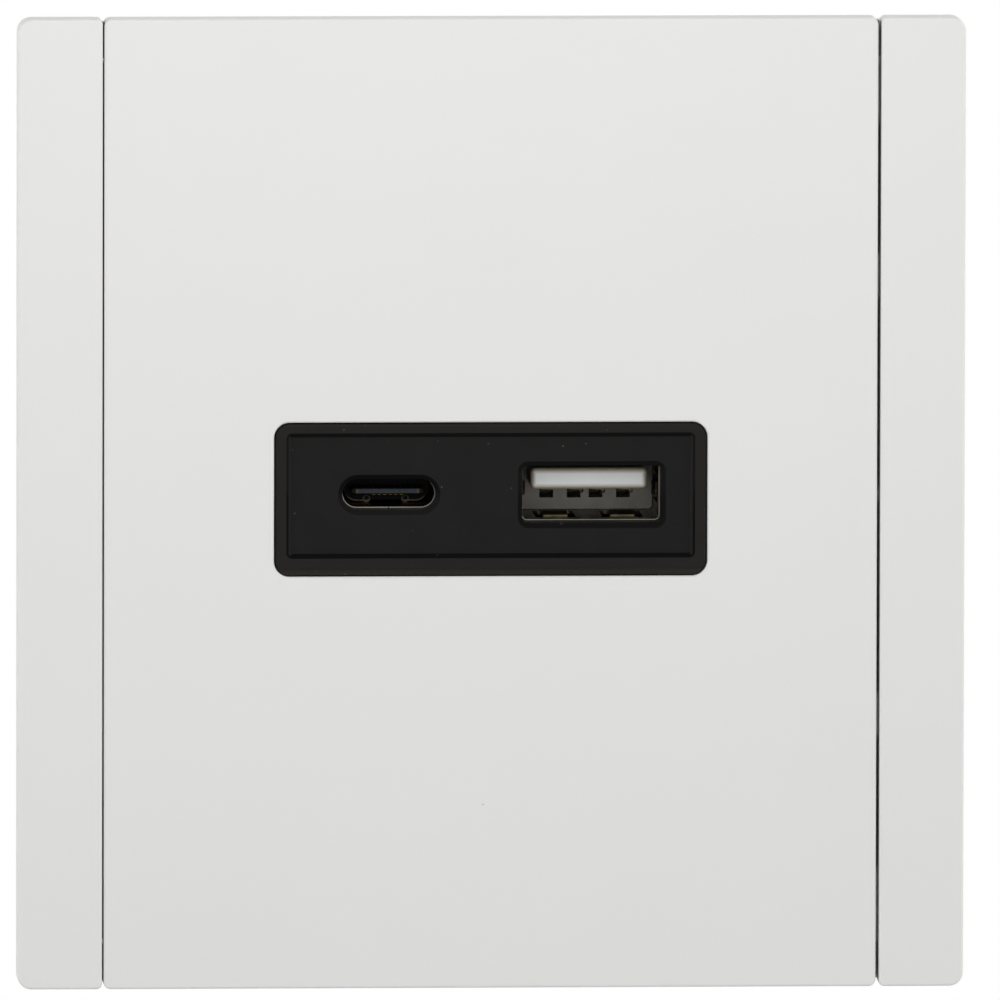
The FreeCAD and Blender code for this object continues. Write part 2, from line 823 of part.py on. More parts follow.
def make_housing_screws():
    """Four screws that clamp the ring between the two halves of the housing."""
    screws = []
    for x, z in clamp_places():
        head = rod(clamp_head_r, flange_front - clamp_head_height, flange_front, x, z)
        head = round_front(head, flange_front - clamp_head_height, clamp_head_round)
        tip = clamp_screw_r
        shank_end = flange_front + clamp_screw_length - tip
        shank = rod(clamp_screw_r, flange_front, shank_end, x, z)
        point = cone(clamp_screw_r, clamp_screw_r / 3, shank_end, shank_end + tip, x, z)
        screw = head.multiFuse([shank, point])
        slot_floor = flange_front - clamp_head_height + driver_slot_depth
        for length, width in (
            (driver_slot_length, driver_slot_width), (driver_slot_width, driver_slot_length),
        ):
            screw = screw.cut(
                block(x - length / 2, x + length / 2, flange_front - clamp_head_height - 1, slot_floor,
                      z - width / 2, z + width / 2)
            )
        screws.append(screw)
    return Part.makeCompound(screws)


def shell_leg(x, sheet, width, y_front, z):
    """Leg of a port's shell, which goes through the port board."""
    return block(x - sheet / 2, x + sheet / 2, y_front, port_board_rear + pin_reach,
                 z - width / 2, z + width / 2)


def make_usb_c_shell():
    """Rolled stainless shell with its seam below, and four legs."""
    outer_height = c_opening_height + 2 * c_sheet
    shell = slab(c_opening_width + 2 * c_sheet, outer_height, outer_height / 2 - round_end_gap,
                 c_front, c_front + c_shell_length, c_x, port_z)
    bore = slab(c_opening_width, c_opening_height, c_opening_height / 2 - round_end_gap,
                c_front, c_front + c_shell_length, c_x, port_z)
    seam = block(c_x - c_seam / 2, c_x + c_seam / 2, c_front, c_front + c_shell_length,
                 port_z - outer_height, port_z)
    shell = shell.cut([bore, seam])
    legs = [
        shell_leg(c_x + side * c_leg_x, c_sheet, c_leg_width, c_front + c_shell_length / 2, port_z)
        for side in (-1, 1)
    ]
    return shell.multiFuse(legs).removeSplitter()


def c_contact_strips():
    """Contacts on both faces of the tongue. The middle ones below reach nearly to its tip."""
    strips = []
    tip = c_front + c_tongue_setback
    for index in range(c_contact_count):
        place = index - (c_contact_count - 1) / 2
        x = c_x + place * c_contact_pitch
        for side in (-1, 1):
            low, high = sorted((
                port_z + side * (c_tongue_core / 2 - c_contact_thickness),
                port_z + side * (c_tongue_core / 2 + c_contact_thickness),
            ))
            long_one = side < 0 and abs(place) < c_long_contact_count / 2
            setback = c_long_contact_setback if long_one else c_contact_setback
            strips.append(
                block(x - c_contact_width / 2, x + c_contact_width / 2,
                      tip + setback, port_board_y, low, high)
            )
    return strips


def make_usb_c_contacts():
    return Part.makeCompound(c_contact_strips())


def make_usb_c_insulator():
    """Tongue, its thicker root, and the base that carries the shell on the board."""
    tip = c_front + c_tongue_setback
    tongue = slab(c_tongue_width, c_tongue_core, c_tongue_core / 2 - 0.02, tip, c_root_y, c_x, port_z)
    tongue = round_front(tongue, tip, c_tongue_round)
    root = slab(c_root_width, c_root_height, c_root_height / 2 - round_end_gap,
                c_root_y, c_front + c_shell_length, c_x, port_z)
    base = slab(c_opening_width - 2 * fit_gap, c_opening_height - 2 * fit_gap,
                c_opening_height / 2 - 0.1, c_front + c_shell_length / 2 + 1.2, port_board_y, c_x, port_z)
    insulator = tongue.multiFuse([root, base])
    return insulator.cut(c_contact_strips() + c_dimples()).removeSplitter()


def c_dimples():
    """Two round dimples on the front of the root."""
    return [
        rod(c_dimple_r, c_root_y, c_root_y + 2 * c_clip_sheet,
            c_x + side * c_dimple_x, port_z - c_dimple_drop)
        for side in (-1, 1)
    ]


def make_usb_c_ground_clip():
    """Thin sheet band round the tongue's root, open below between its two ring dimples."""
    band_rear = c_front + c_shell_length / 2 + 1.0
    band = slab(c_root_width + 2 * c_clip_sheet, c_root_height + 2 * c_clip_sheet,
                c_root_height / 2 + c_clip_sheet - round_end_gap, c_root_y, band_rear, c_x, port_z)
    hole = slab(c_root_width, c_root_height, c_root_height / 2 - round_end_gap,
                c_root_y, band_rear, c_x, port_z)
    gap = block(c_x - c_clip_gap / 2, c_x + c_clip_gap / 2, c_root_y, port_board_y,
                port_z - c_root_height, port_z - c_root_height / 2 + c_clip_sheet)
    band = band.cut([hole, gap])
    rings = []
    for dimple in c_dimples():
        centre = dimple.BoundBox.Center
        ring = dimple.cut(rod(c_dimple_bore, c_root_y - 1, c_root_y + 1, centre.x, centre.z))
        rings.append(ring)
    return band.multiFuse(rings).removeSplitter()


def make_usb_a_shell():
    """Folded shell with two spring fingers above, two below and one at each side."""
    length_rear = port_board_y - fit_gap
    shell = wall(a_opening_width + 2 * a_sheet, a_opening_height + 2 * a_sheet,
                 a_opening_corner + a_sheet, a_sheet, a_front, length_rear, a_x, port_z)
    slots = []
    fingers = []
    slot_front = a_front + a_finger_start
    slot_rear = slot_front + a_finger_length
    half = a_finger_width / 2
    for sz in (-1, 1):
        inner = sz * a_opening_height / 2
        outer = sz * (a_opening_height / 2 + a_sheet)
        for side in (-1, 1):
            x = a_x + side * a_finger_x
            low, high = sorted((port_z + inner, port_z + outer))
            slots.append(
                block(x - half - a_finger_slot, x + half + a_finger_slot, slot_front, slot_rear,
                      low - 0.01, high + 0.01)
            )
            side_view = finger_points(sz, slot_front, slot_rear, port_z)
            fingers.append(profile_along_x(side_view, x - half, x + half))
    for side in (-1, 1):
        inner = a_x + side * a_opening_width / 2
        x0, x1 = sorted((inner - side * 0.01, inner + side * (a_sheet + 0.01)))
        reach = a_side_finger_width / 2 + a_finger_slot
        slots.append(block(x0, x1, slot_front, slot_rear, port_z - reach, port_z + reach))
        fingers.append(side_finger(side, slot_front, slot_rear))
    legs = [
        shell_leg(a_x + side * a_leg_x, a_sheet, a_leg_width, length_rear - 1, port_z + sz * a_leg_rise)
        for side in (-1, 1) for sz in (-1, 1)
    ]
    return shell.cut(slots).multiFuse(fingers + legs).removeSplitter()


def side_finger(side, y_front, y_rear):
    """Spring finger in a side wall: made like the upper ones, then turned about the port's axis."""
    half = a_side_finger_width / 2
    finger = profile_along_x(finger_points(1, y_front, y_rear, 0), -half, half)
    finger.translate(Vector(0, 0, (a_opening_width - a_opening_height) / 2))
    finger.rotate(Vector(0, 0, 0), Vector(0, 1, 0), side * 90)
    finger.translate(Vector(a_x, 0, port_z))
    return finger


def finger_points(sz, y_front, y_rear, z):
    """Side view of a spring finger: rooted at its rear, bent inwards, with a turned-out tip."""
    skin_z = a_opening_height / 2
    crest = y_front + a_finger_slot + a_finger_ramp
    tip = y_front + a_finger_slot
    inner = [(y_rear + 0.2, skin_z), (crest, skin_z - a_finger_bend), (tip, skin_z - a_finger_bend / 3)]
    outer = [(y, height + a_sheet) for y, height in reversed(inner)]
    return [(y, z + sz * height) for y, height in inner + outer]


def a_slot_channels():
    """Channels through the back wall for the four contacts, three of them with a step at the right."""
    top = port_z + a_tongue_rise
    channels = []
    for offset in a_contact_offsets:
        left = a_x + offset - a_slot_width / 2
        right = left + a_slot_width
        channels.append(block(left, right, a_wall_y, port_board_y, port_z - a_slot_drop, top))
        if offset > a_contact_offsets[0]:
            channels.append(
                block(left, right + a_slot_step_width, a_wall_y, a_wall_y + a_slot_width,
                      port_z - a_slot_step_drop, top)
            )
    return channels


def make_usb_a_insulator():
    """White tongue and back wall, moulded in one with the base on the board."""
    tongue_front = a_front + a_tongue_setback
    tongue_z = port_z + a_tongue_rise + a_tongue_thickness / 2
    tongue = slab(a_tongue_width, a_tongue_thickness, a_tongue_corner, tongue_front, a_wall_y + 1,
                  a_x, tongue_z)
    tongue = round_front(tongue, tongue_front, a_tongue_round)
    base = slab(a_opening_width - 2 * fit_gap, a_opening_height - 2 * fit_gap, a_opening_corner,
                a_wall_y, port_board_y, a_x, port_z)
    return tongue.fuse(base).cut(a_slot_channels()).removeSplitter()


def make_usb_a_contacts():
    """Four spring contacts under the tongue, with legs through the board."""
    strips = []
    top = port_z + a_tongue_rise
    crest_y = a_front + a_tongue_setback + a_contact_crest_back
    for offset in a_contact_offsets:
        upper = [
            (port_board_rear + pin_reach, top - a_contact_drop),
            (a_wall_y, top - a_contact_drop),
            (crest_y, top - a_contact_crest_drop),
            (crest_y - a_contact_tip_reach, top - fit_gap),
        ]
        lower = [(y, z - a_contact_sheet) for y, z in reversed(upper)]
        x0 = a_x + offset - a_contact_width / 2
        strips.append(profile_along_x(upper + lower, x0, x0 + a_contact_width))
    return Part.makeCompound(strips)


def link_places():
    first = link_x - (link_count - 1) * link_pitch / 2
    return [first + index * link_pitch for index in range(link_count)]


def square_pin(x, z, size, y_front, y_rear):
    return block(x - size / 2, x + size / 2, y_front, y_rear, z - size / 2, z + size / 2)


def make_port_board():
    """Board behind the ports, with slots for the legs and pins."""
    board = inner_outline_block(running_gap, port_board_y, port_board_rear)
    holes = []
    grow = 2 * fit_gap
    for side in (-1, 1):
        holes.append(block(
            c_x + side * c_leg_x - c_sheet / 2 - grow, c_x + side * c_leg_x + c_sheet / 2 + grow,
            port_board_y, port_board_rear, port_z - c_leg_width / 2 - grow, port_z + c_leg_width / 2 + grow,
        ))
        for sz in (-1, 1):
            leg_z = port_z + sz * a_leg_rise
            holes.append(block(
                a_x + side * a_leg_x - a_sheet / 2 - grow, a_x + side * a_leg_x + a_sheet / 2 + grow,
                port_board_y, port_board_rear,
                leg_z - a_leg_width / 2 - grow, leg_z + a_leg_width / 2 + grow,
            ))
    contact_z = port_z + a_tongue_rise - a_contact_drop - a_contact_sheet / 2
    for offset in a_contact_offsets:
        half = a_contact_width / 2 + grow
        holes.append(block(
            a_x + offset - half, a_x + offset + half, port_board_y, port_board_rear,
            contact_z - a_contact_sheet / 2 - grow, contact_z + a_contact_sheet / 2 + grow,
        ))
    for x in link_places():
        holes.append(square_pin(x, link_z, link_pin + 2 * fit_gap, port_board_y, port_board_rear))
    return board.cut(holes)


def make_port_board_chips():
    """Flat chip packages on the rear of the port board."""
    return Part.makeCompound([
        block(x - chip_length / 2, x + chip_length / 2, port_board_rear, port_board_rear + chip_height,
              chip_z - chip_width / 2, chip_z + chip_width / 2)
        for x in chip_x
    ])


def capped_can(radius, y_board, height, x, z):
    """Round capacitor can with a rounded far end and a rolled groove near the board."""
    sign = 1 if height > 0 else -1
    y0, y1 = sorted((y_board, y_board + height))
    can = rod(radius, y0, y1, x, z)
    far = y_board + height
    can = can.makeFillet(radius * can_round_share, edges_at(can, far))
    groove_y = y_board + sign * can_groove_place
    groove = Part.makeTorus(radius + can_groove_reach, can_groove_r, Vector(x, groove_y, z), Vector(0, 1, 0))
    return can.cut(groove)


def make_output_capacitors():
    step = 2 * output_cap_r + output_cap_space
    return Part.makeCompound([
        capped_can(output_cap_r, port_board_y, -output_cap_height,
                   output_cap_left + output_cap_r + index * step, output_cap_z)
        for index in range(output_cap_count)
    ])


def make_output_choke():
    """Shielded power inductor below the ports."""
    return slab(choke_size, choke_size, choke_corner, port_board_y - choke_height, port_board_y, 0, choke_z)


def make_link_header():
    """Moulded strip that keeps the two boards apart and carries the pins."""
    strip = block(link_x - link_length / 2, link_x + link_length / 2, port_board_rear, power_board_y,
                  link_z - link_body / 2, link_z + link_body / 2)
    holes = [square_pin(x, link_z, link_pin, port_board_rear, power_board_y) for x in link_places()]
    return strip.cut(holes)


def make_link_pins():
    return Part.makeCompound([
        square_pin(x, link_z, link_pin, port_board_y - pin_reach, power_board_rear + pin_reach)
        for x in link_places()
    ])


def bobbin_pin_places():
    places = []
    for side in (-1, 1):
        x = core_x + side * (core_length / 2 + bobbin_pin_r)
        for index in range(bobbin_pin_count):
            z = core_z + (index - (bobbin_pin_count - 1) / 2) * bobbin_pin_pitch
            places.append((x, z))
    return places


def busbar_leg_places():
    leg_z = bar_top_z() - busbar_sheet / 2
    return [(side * pole_x, leg_z) for side in (-1, 1)]


def make_power_board():
    """Board with the mains converter, the terminals and the transformer."""
    board = inner_outline_block(running_gap, power_board_y, power_board_rear)
    holes = [
        square_pin(x, link_z, link_pin + 2 * fit_gap, power_board_y, power_board_rear)
        for x in link_places()
    ]
    for x, z in bobbin_pin_places():
        holes.append(square_pin(x, z, 2 * bobbin_pin_r + 2 * fit_gap, power_board_y, power_board_rear))
    for x, z in busbar_leg_places():
        half_x = busbar_leg_width / 2 + fit_gap
        half_z = busbar_sheet / 2 + fit_gap
        holes.append(
            block(x - half_x, x + half_x, power_board_y, power_board_rear, z - half_z, z + half_z)
        )
    return board.cut(holes)


def make_insulating_sheet():
    """Plastic film on the front of the power board, cut out for the pins and the header."""
    y_front = power_board_y - film_thickness
    film = inner_outline_block(3 * running_gap, y_front, power_board_y)
    length = link_length + 2 * running_gap
    cuts = [
        block(link_x - length / 2, link_x + length / 2, y_front, power_board_y,
              link_z - link_body, link_z + inner_height)
    ]
    for x, z in bobbin_pin_places():
        cuts.append(square_pin(x, z, 2 * bobbin_pin_r + running_gap, y_front, power_board_y))
    for x, z in busbar_leg_places():
        half_x = busbar_leg_width / 2 + running_gap
        half_z = busbar_sheet + running_gap
        cuts.append(block(x - half_x, x + half_x, y_front, power_board_y, z - half_z, z + half_z))
    return film.cut(cuts)


def core_front():
    return power_board_rear + rail_thickness + bobbin_gap


def make_transformer_core():
    """Two E-shaped ferrite halves that meet in the middle of the bobbin."""
    y0 = core_front()
    y1 = y0 + core_depth
    z0 = core_z - core_thickness / 2
    z1 = core_z + core_thickness / 2
    body = block(core_x - core_length / 2, core_x + core_length / 2, y0, y1, z0, z1)
    window_half = core_length / 2 - core_leg
    for y in (y0 + core_leg, y1 - core_leg - winding_space):
        body = body.cut(block(core_x - window_half, core_x + window_half, y, y + winding_space, z0, z1))
    halves = [
        body.common(block(core_x - core_length, core_x, y0, y1, z0, z1)),
        body.common(block(core_x, core_x + core_length, y0, y1, z0, z1)),
    ]
    return Part.makeCompound(halves)


def bobbin_middle_y():
    return core_front() + core_depth / 2


def bobbin_ring(x0, x1, grow_in, grow_out):
    """Rectangular sleeve round the core's centre leg."""
    y = bobbin_middle_y()
    half_y = core_centre_leg / 2
    half_z = core_thickness / 2
    outer = block(x0, x1, y - half_y - grow_out, y + half_y + grow_out,
                  core_z - half_z - grow_out, core_z + half_z + grow_out)
    inner = block(x0, x1, y - half_y - grow_in, y + half_y + grow_in,
                  core_z - half_z - grow_in, core_z + half_z + grow_in)
    return outer.cut(inner)


def bobbin_half_length():
    return core_length / 2 - core_leg - bobbin_gap


def make_transformer_bobbin():
    """Sleeve with a flange at each end, and a rail with pins below each flange."""
    half = bobbin_half_length()
    tube_out = bobbin_gap + bobbin_wall
    flange_out = winding_space - bobbin_gap
    pieces = []
    for side in (-1, 1):
        x0, x1 = sorted((core_x + side * half, core_x + side * (half - bobbin_flange)))
        pieces.append(bobbin_ring(x0, x1, bobbin_gap, flange_out))
        reach = core_length / 2 + 2 * bobbin_pin_r + bobbin_rail_edge
        r0, r1 = sorted((core_x + side * (half - bobbin_flange), core_x + side * reach))
        span = (bobbin_pin_count - 1) * bobbin_pin_pitch + 2 * bobbin_rail_end
        pieces.append(
            block(r0, r1, power_board_rear, power_board_rear + rail_thickness,
                  core_z - span / 2, core_z + span / 2)
        )
        post_z = core_thickness / 2 + bobbin_gap
        for sz in (-1, 1):
            z0, z1 = sorted((core_z + sz * post_z, core_z + sz * (post_z + flange_out - bobbin_gap)))
            pieces.append(
                block(x0, x1, power_board_rear, bobbin_middle_y(), z0, z1)
            )
    for x, z in bobbin_pin_places():
        pieces.append(rod(bobbin_pin_r, power_board_y - pin_reach / 2, power_board_rear + weld, x, z))
    tube = bobbin_ring(core_x - half, core_x + half, bobbin_gap, tube_out)
    return tube.multiFuse(pieces).removeSplitter()


def make_transformer_winding():
    """Taped windings, with rounded corners, that fill the bobbin between its flanges."""
    half = bobbin_half_length() - bobbin_flange
    tube_out = bobbin_gap + bobbin_wall
    height = min(winding_height, winding_space - bobbin_gap)
    ring = bobbin_ring(core_x - half, core_x + half, tube_out, height)
    long_edges = [e for e in ring.Edges if abs(e.BoundBox.XLength - 2 * half) < 1e-6]
    reach = core_thickness / 2 + height - 1e-3
    corners = [e for e in long_edges if abs(e.CenterOfMass.z - core_z) > reach]
    return ring.makeFillet(winding_corner, corners)


def make_bulk_capacitors():
    step = 2 * bulk_cap_r + bulk_cap_space
    return Part.makeCompound([
        capped_can(bulk_cap_r, power_board_rear, bulk_cap_height, bulk_cap_x,
                   bulk_cap_floor + bulk_cap_r + index * step)
        for index in range(bulk_cap_count)
    ])


def make_input_choke():
    """Drum core choke: a waisted drum with its winding."""
    y0 = power_board_rear
    y1 = y0 + input_choke_height
    drum = rod(input_choke_r, y0, y1, input_choke_x, input_choke_z)
    low = y0 + drum_flange
    high = y1 - drum_flange
    sleeve = rod(input_choke_r + drum_waist, low, high, input_choke_x, input_choke_z)
    sleeve = sleeve.cut(rod(input_choke_r - drum_waist, low, high, input_choke_x, input_choke_z))
    return drum.cut(sleeve)


def make_package(index):
    """Moulded package with sloping sides, in a row on the rear of the power board."""
    x = package_left + package_length / 2 + index * package_step
    slope = 2 * package_slope
    foot = outline(package_length, package_width, package_corner, power_board_rear, x, package_z)
    top = outline(package_length - slope, package_width - slope, package_corner,
                  power_board_rear + package_height, x, package_z)
    return Part.makeLoft([foot, top], True, True)


def make_fuse_resistor():
    """Dipped resistor lying on the board, fatter at both ends."""
    y = power_board_rear + fuse_r
    half = fuse_length / 2
    body = Part.makeCylinder(
        fuse_r * fuse_waist_share, fuse_length, Vector(fuse_x - half, y, fuse_z), Vector(1, 0, 0)
    )
    ends = [
        Part.makeCylinder(fuse_r, fuse_cap, Vector(x, y, fuse_z), Vector(1, 0, 0))
        for x in (fuse_x - half, fuse_x + half - fuse_cap)
    ]
    body = body.multiFuse(ends).removeSplitter()
    rims = [
        e for e in body.Edges
        if e.BoundBox.XLength < 1e-6 and abs(abs(e.CenterOfMass.x - fuse_x) - half) < 1e-3
    ]
    return body.makeFillet(fuse_round, rims)


def make_film_capacitor():
    box = slab(film_cap_length, film_cap_width, tool_corner, power_board_rear,
               power_board_rear + film_cap_height, film_cap_x, film_cap_z)
    return round_front(box, power_board_rear + film_cap_height, film_cap_round)


def make_disc_capacitor():
    """Dipped disc standing on edge on the board."""
    y = power_board_rear + disc_cap_r
    disc = Part.makeCylinder(disc_cap_r, disc_cap_thickness,
                             Vector(core_x, y, disc_cap_z - disc_cap_thickness / 2), Vector(0, 0, 1))
    rims = [e for e in disc.Edges if len(e.Vertexes) == 1]
    return disc.makeFillet(disc_cap_thickness * disc_cap_round_share, rims)


def pole_cavity(side):
    """Space in the terminal block for one pole's bar, spring and button foot."""
    half = pole_x - terminal_wall / 2
    x = side * pole_x
    z0 = terminal_z - terminal_height / 2 + terminal_wall
    z1 = terminal_top - terminal_wall
    return block(x - half, x + half, power_board_rear, entry_inner_y, z0, z1)


def entry_places():
    return [side * pole_x + offset for side in (-1, 1) for offset in (-entry_offset, entry_offset)]


def make_terminal_block():
    """Moulded block with four funnelled wire entries and two wells for the buttons."""
    body = slab(terminal_width, terminal_height, terminal_corner, power_board_rear, rear_wall_y, 0, terminal_z)
    neck = slab(terminal_width - 2 * terminal_neck, terminal_height - 2 * terminal_neck, terminal_corner,
                rear_wall_y, housing_depth, 0, terminal_z)
    cuts = []
    for side in (-1, 1):
        cuts.append(pole_cavity(side))
        cuts.append(
            slab(button_width, button_height, well_corner, entry_inner_y, housing_depth,
                 side * pole_x, button_z)
        )
    for x in entry_places():
        cuts.append(rod(entry_r, entry_inner_y, housing_depth, x, entry_z))
        funnel_y = housing_depth - entry_funnel
        cuts.append(cone(entry_r, entry_r + entry_funnel, funnel_y, housing_depth, x, entry_z))
    rib = block(-pole_rib / 2, pole_rib / 2, housing_depth - weld, housing_depth + button_stand,
                terminal_z - terminal_height / 2 + terminal_neck, terminal_top - terminal_neck)
    return body.multiFuse([neck, rib]).cut(cuts).removeSplitter()


def make_release_button(side):
    """Button with a screwdriver notch, a foot that keeps it in its well, and a stem."""
    x = side * pole_x
    width = button_width - 2 * button_gap
    height = button_height - 2 * button_gap
    top = housing_depth + button_stand
    foot_top = entry_inner_y - button_gap
    head = slab(width, height, button_round, foot_top - button_foot, top, x, button_z)
    head = round_front(head, top, button_round)
    x0 = x - width / 2 - button_foot_reach
    x1 = x + width / 2 + button_foot_reach
    z0 = button_z - height / 2
    foot = block(x0, x1, foot_top - button_foot, foot_top, z0, z0 + height)
    stem_front = spring_contact_y() + button_gap
    stem = block(x0, x1, stem_front, foot_top - button_foot, z0, z0 + button_stem / 2)
    notch = block(x - button_notch_length / 2, x + button_notch_length / 2,
                  top - button_notch_depth, top + 1,
                  button_z - button_notch_width / 2, button_z + button_notch_width / 2)
    return head.multiFuse([foot, stem]).cut(notch).removeSplitter()


def bar_top_z():
    return terminal_z - terminal_height / 2 + terminal_wall + busbar_sheet


def make_busbar(side):
    """Copper bar under both wires of a pole, with a leg through the board."""
    x = side * pole_x
    z0 = bar_top_z() - busbar_sheet
    z1 = z0 + busbar_sheet
    bar_y = power_board_rear + busbar_lift
    bar = block(x - busbar_width / 2, x + busbar_width / 2, bar_y, entry_inner_y - busbar_end_gap, z0, z1)
    half = busbar_leg_width / 2
    leg = block(x - half, x + half, power_board_y - pin_reach / 2, bar_y, z0, z1)
    return bar.fuse(leg).removeSplitter()


def spring_outline():
    """Side view of a clamp spring as three (y, z) stretches: back, bend and slanting leg."""
    top_z = terminal_z + terminal_height / 2 - terminal_wall - running_gap
    bend_y = power_board_rear + running_gap + spring_bend_r + spring_sheet
    tip = (entry_inner_y - spring_tip_gap, bar_top_z() + spring_sheet)
    return top_z, bend_y, tip


def spring_contact_y():
    """Where a button's stem meets the slanting leg."""
    top_z, bend_y, tip = spring_outline()
    low_z = top_z - 2 * spring_bend_r - spring_sheet
    stem_z = button_z - button_height / 2 + button_gap
    share = (low_z - stem_z) / (low_z - tip[1])
    return bend_y + max(share, 0) * (tip[0] - bend_y) + spring_sheet


def half_turn(radius, x, y, z):
    """Half circle that opens into the wall."""
    points = [Vector(x, y, z + radius), Vector(x, y - radius, z), Vector(x, y, z - radius)]
    return Part.Arc(*points).toShape()


def make_clamp_spring(side):
    """Bent steel strip: a back along the roof, a round bend, and two legs slanting to the bar."""
    top_z, bend_y, tip = spring_outline()
    x = side * pole_x
    outer_r = spring_bend_r + spring_sheet
    centre_z = top_z - outer_r
    low_z = top_z - spring_sheet
    pieces = []
    for offset in (-entry_offset, entry_offset):
        x0 = x + offset - spring_leg_width / 2
        back_y = entry_inner_y - spring_back_gap
        outer = half_turn(outer_r, x0, bend_y, centre_z)
        inner = half_turn(spring_bend_r, x0, bend_y, centre_z)
        tip_low = Vector(x0, tip[0], tip[1])
        tip_high = Vector(x0, tip[0] + spring_sheet, tip[1])
        edges = [
            Part.makeLine(Vector(x0, back_y, top_z), Vector(x0, bend_y, top_z)),
            outer,
            Part.makeLine(Vector(x0, bend_y, centre_z - outer_r), tip_low),
            Part.makeLine(tip_low, tip_high),
            Part.makeLine(tip_high, Vector(x0, bend_y, centre_z - spring_bend_r)),
            inner,
            Part.makeLine(Vector(x0, bend_y, low_z), Vector(x0, back_y, low_z)),
            Part.makeLine(Vector(x0, back_y, low_z), Vector(x0, back_y, top_z)),
        ]
        face = Part.Face(Part.Wire(edges))
        pieces.append(face.extrude(Vector(spring_leg_width, 0, 0)))
    bridge = block(x - entry_offset, x + entry_offset, bend_y, bend_y + spring_bridge, low_z, top_z)
    return pieces[0].multiFuse(pieces[1:] + [bridge]).removeSplitter()


parts = {
    "surround_frame": make_surround_frame,
    "centre_cover": make_centre_cover,
    "housing_front": make_housing_front,
    "housing_rear": make_housing_rear,
    "support_ring": make_support_ring,
    "housing_screws": make_housing_screws,
    "usb_c_shell": make_usb_c_shell,
    "usb_c_insulator": make_usb_c_insulator,
    "usb_c_contacts": make_usb_c_contacts,
    "usb_c_ground_clip": make_usb_c_ground_clip,
    "usb_a_shell": make_usb_a_shell,
    "usb_a_insulator": make_usb_a_insulator,
    "usb_a_contacts": make_usb_a_contacts,
    "port_board": make_port_board,
    "port_board_chips": make_port_board_chips,
    "output_capacitors": make_output_capacitors,
    "output_choke": make_output_choke,
    "link_header": make_link_header,
    "link_pins": make_link_pins,
    "power_board": make_power_board,
    "insulating_sheet": make_insulating_sheet,
    "transformer_core": make_transformer_core,
    "transformer_bobbin": make_transformer_bobbin,
    "transformer_winding": make_transformer_winding,
    "bulk_capacitors": make_bulk_capacitors,
    "input_choke": make_input_choke,
    "rectifier": lambda: make_package(0),
    "optocoupler": lambda: make_package(1),
    "switch_chip": lambda: make_package(2),
    "fuse_resistor": make_fuse_resistor,
    "film_capacitor": make_film_capacitor,
    "disc_capacitor": make_disc_capacitor,
    "terminal_block": make_terminal_block,
    "line_busbar": lambda: make_busbar(-1),
    "neutral_busbar": lambda: make_busbar(1),
    "line_clamp_spring": lambda: make_clamp_spring(-1),
    "neutral_clamp_spring": lambda: make_clamp_spring(1),
    "line_release_button": lambda: make_release_button(-1),
    "neutral_release_button": lambda: make_release_button(1),
}

os.makedirs("parts", exist_ok=True)
for name, make in parts.items():
    shape = make()
    print(name, "solids", len(shape.Solids), "valid", shape.isValid(), "volume", round(shape.Volume, 2))
    shape.exportStep(os.path.join("parts", name + ".step"))
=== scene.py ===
import math

import bpy
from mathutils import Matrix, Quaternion, Vector


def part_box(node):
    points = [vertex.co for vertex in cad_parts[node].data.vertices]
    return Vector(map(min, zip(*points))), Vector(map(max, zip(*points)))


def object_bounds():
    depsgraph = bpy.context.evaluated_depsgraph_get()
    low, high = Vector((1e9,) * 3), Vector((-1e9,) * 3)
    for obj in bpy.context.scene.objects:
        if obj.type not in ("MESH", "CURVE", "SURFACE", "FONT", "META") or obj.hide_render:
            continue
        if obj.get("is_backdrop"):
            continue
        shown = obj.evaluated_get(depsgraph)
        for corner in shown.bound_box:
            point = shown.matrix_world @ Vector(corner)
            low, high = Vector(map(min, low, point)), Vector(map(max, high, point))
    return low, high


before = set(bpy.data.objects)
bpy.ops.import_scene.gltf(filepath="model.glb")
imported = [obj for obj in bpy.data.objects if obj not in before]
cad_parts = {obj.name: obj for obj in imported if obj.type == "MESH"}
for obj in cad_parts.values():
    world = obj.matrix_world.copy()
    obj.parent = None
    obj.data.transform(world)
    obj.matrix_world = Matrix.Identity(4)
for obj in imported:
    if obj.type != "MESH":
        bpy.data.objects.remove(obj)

cad_low, cad_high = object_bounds()

# The view. A long lens stands far in front of the wall plate, a little to its left and above it.
# The plate stays almost square, and the floors and right walls of the ports show.
view_distance = 3.0
view_azimuth = math.radians(-3.2)
view_elevation = math.radians(5.5)
view_roll = math.radians(0.12)
view_field = 0.09066
sensor_width = 36.0
plate_front = cad_low.y
view_aim = Vector((0.00083, plate_front, 0.000345))
view_back = Vector((
    math.sin(view_azimuth) * math.cos(view_elevation),
    -math.cos(view_azimuth) * math.cos(view_elevation),
    math.sin(view_elevation),
))
camera_data = bpy.data.cameras.new("camera")
camera_data.sensor_width = sensor_width
camera_data.lens = sensor_width * view_distance / view_field
camera_data.clip_end = 10.0
camera = bpy.data.objects.new("camera", camera_data)
camera.location = view_aim + view_back * view_distance
camera.rotation_mode = "QUATERNION"
camera.rotation_quaternion = (-view_back).to_track_quat("-Z", "Y") @ Quaternion((0, 0, 1), view_roll)
bpy.context.scene.collection.objects.link(camera)
bpy.context.scene.camera = camera
bpy.context.scene.view_settings.view_transform = "Standard"


def linear(code):
    """Linear colour of an sRGB hex value."""
    shares = [int(code[i:i + 2], 16) / 255 for i in (1, 3, 5)]
    return [s / 12.92 if s <= 0.04045 else ((s + 0.055) / 1.055) ** 2.4 for s in shares] + [1.0]


